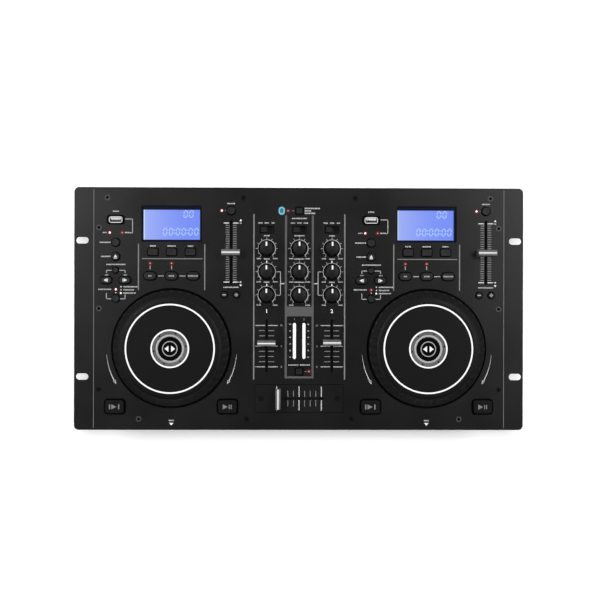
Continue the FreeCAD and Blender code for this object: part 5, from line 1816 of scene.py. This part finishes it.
def makeLongLamps():
    # the pairing lamp and the two level meters: lens, and a raised light inside its outline
    lens = [(0.0, boardTop), (0.0, panelTop + 0.05), (0.12, panelTop + 0.17), (0.35, panelTop + 0.2)]
    light = [(0.0, panelTop), (0.0, panelTop + 0.22), (0.2, panelTop + 0.26)]
    place = lamps["pairing"]
    size = lamps["pairingLens"]
    turns = (size[0] / 2, size[0] / 2 + 1)
    # painted light: a dim glowing ring on the panel round the pairing lamp's lens
    halo = rimPlate(place, lamps["pairingHalo"], size, turns, panelTop + 0.01, panelTop + 0.05)
    core = lamps["pairingCore"]
    replaced = ("indicator_lamps",)
    cap = capSurface(place, size, size[0] / 2, lens, 0.0, 10)
    addPiece("pairingLamp", cap, "blueRim", 40, replaced)
    addPiece("pairingLampHalo", halo, "blueHalo")
    cap = capSurface(place, core, core[0] / 2, light, 0.0, 10)
    addPiece("pairingLampCore", cap, "blueLamp", 40)
    x, y = lamps["meter"]
    for name, key, levels, glow, nodeNames in (
        ("meterLenses", "meterLens", lens, "deepBlack", replaced),
        ("meterBars", "meterLight", light, "meterGlow", ()),
    ):
        size = lamps[key]
        caps = [capSurface((sign * x, y), size, size[0] / 2, levels, 0.0, 8) for sign in (-1, 1)]
        addPiece(name, merged(caps), glow, 40, nodeNames)


socket = {
    "place": (-59.8, 95.2),
    "bezel": (19.4, 10.3),
    "bezelTurns": (0.4, 3.2),
    "bezelRise": 0.6,
    "collar": (17.0, 7.9),
    "collarTurns": (0.4, 0.3),
    "wall": 0.4,
    "shellTurns": (0.4, 0.5),
    "liner": 0.15,
    "lip": (14.3, 6.8),
    "lipTurns": (0.4, 2.3),
    "lipRise": 0.5,
    "mouth": (12.4, 5.0),
    "tongue": (10.9, 1.7, 1.4, 1.0),  # width, thickness, how far it stands off the middle, drop of its end
    "contact": (0.7, 1.0),
    "contacts": (-3.9, -1.3, 1.3, 3.9),
    "depth": 11.5,
}


def makeSocket(side):
    x = deckMiddle[side] + socket["place"][0]
    y = socket["place"][1]
    place = (x, y)
    bezelTop = panelTop + socket["bezelRise"]
    low = bezelTop - socket["depth"]
    wall = socket["wall"]
    mouth = np.array(socket["mouth"])
    shellSize = mouth + 2 * wall
    replaced = ("usb_sockets",)
    bezel = rimPlate(place, socket["bezel"], shellSize, socket["bezelTurns"], panelTop, bezelTop)
    collar = rimPlate(place, socket["collar"], shellSize, socket["collarTurns"], panelUnder, panelTop)
    addPiece(side + "SocketBezel", merged([bezel, collar]), "deepBlack", 40, replaced)
    turns = socket["shellTurns"]
    shell = openBox(place, shellSize, mouth, turns, (low, bezelTop + 0.1, low + 0.5))
    addPiece(side + "SocketShell", shell, "socketMetal", 40, replaced)
    # painted shade: a deep black lining inside the metal shell, where the socket's inside lies in shade
    liner = openBox(place, mouth, mouth - 2 * socket["liner"], turns, (low + 0.4, bezelTop + 0.2, low + 0.7))
    addPiece(side + "SocketShadeLiner", liner, "deepBlack", 40)
    lipTop = bezelTop + socket["lipRise"]
    lip = rimPlate(place, socket["lip"], mouth, socket["lipTurns"], bezelTop - 0.05, lipTop)
    addPiece(side + "SocketLip", lip, "socketPlate", 40)
    wide, thick, offset, drop = socket["tongue"]
    near, far = y + offset - thick / 2, y + offset + thick / 2
    tongue = bar(x - wide / 2, x + wide / 2, near, far, low + 0.4, lipTop - drop)
    half, reach = socket["contact"]
    contacts = [
        bar(x + contactX - half, x + contactX + half, near - reach, near + 0.02, low + 2, bezelTop - drop)
        for contactX in socket["contacts"]
    ]
    addPiece(side + "SocketTongue", tongue, "whitePlastic", None, replaced)
    addPiece(side + "SocketContacts", merged(contacts), "socketPlate")


for side in deckMiddle:
    makeDisplay(side)
    makeSocket(side)
makeLamps()
makeLongLamps()
print("displays, sockets and lamps made")
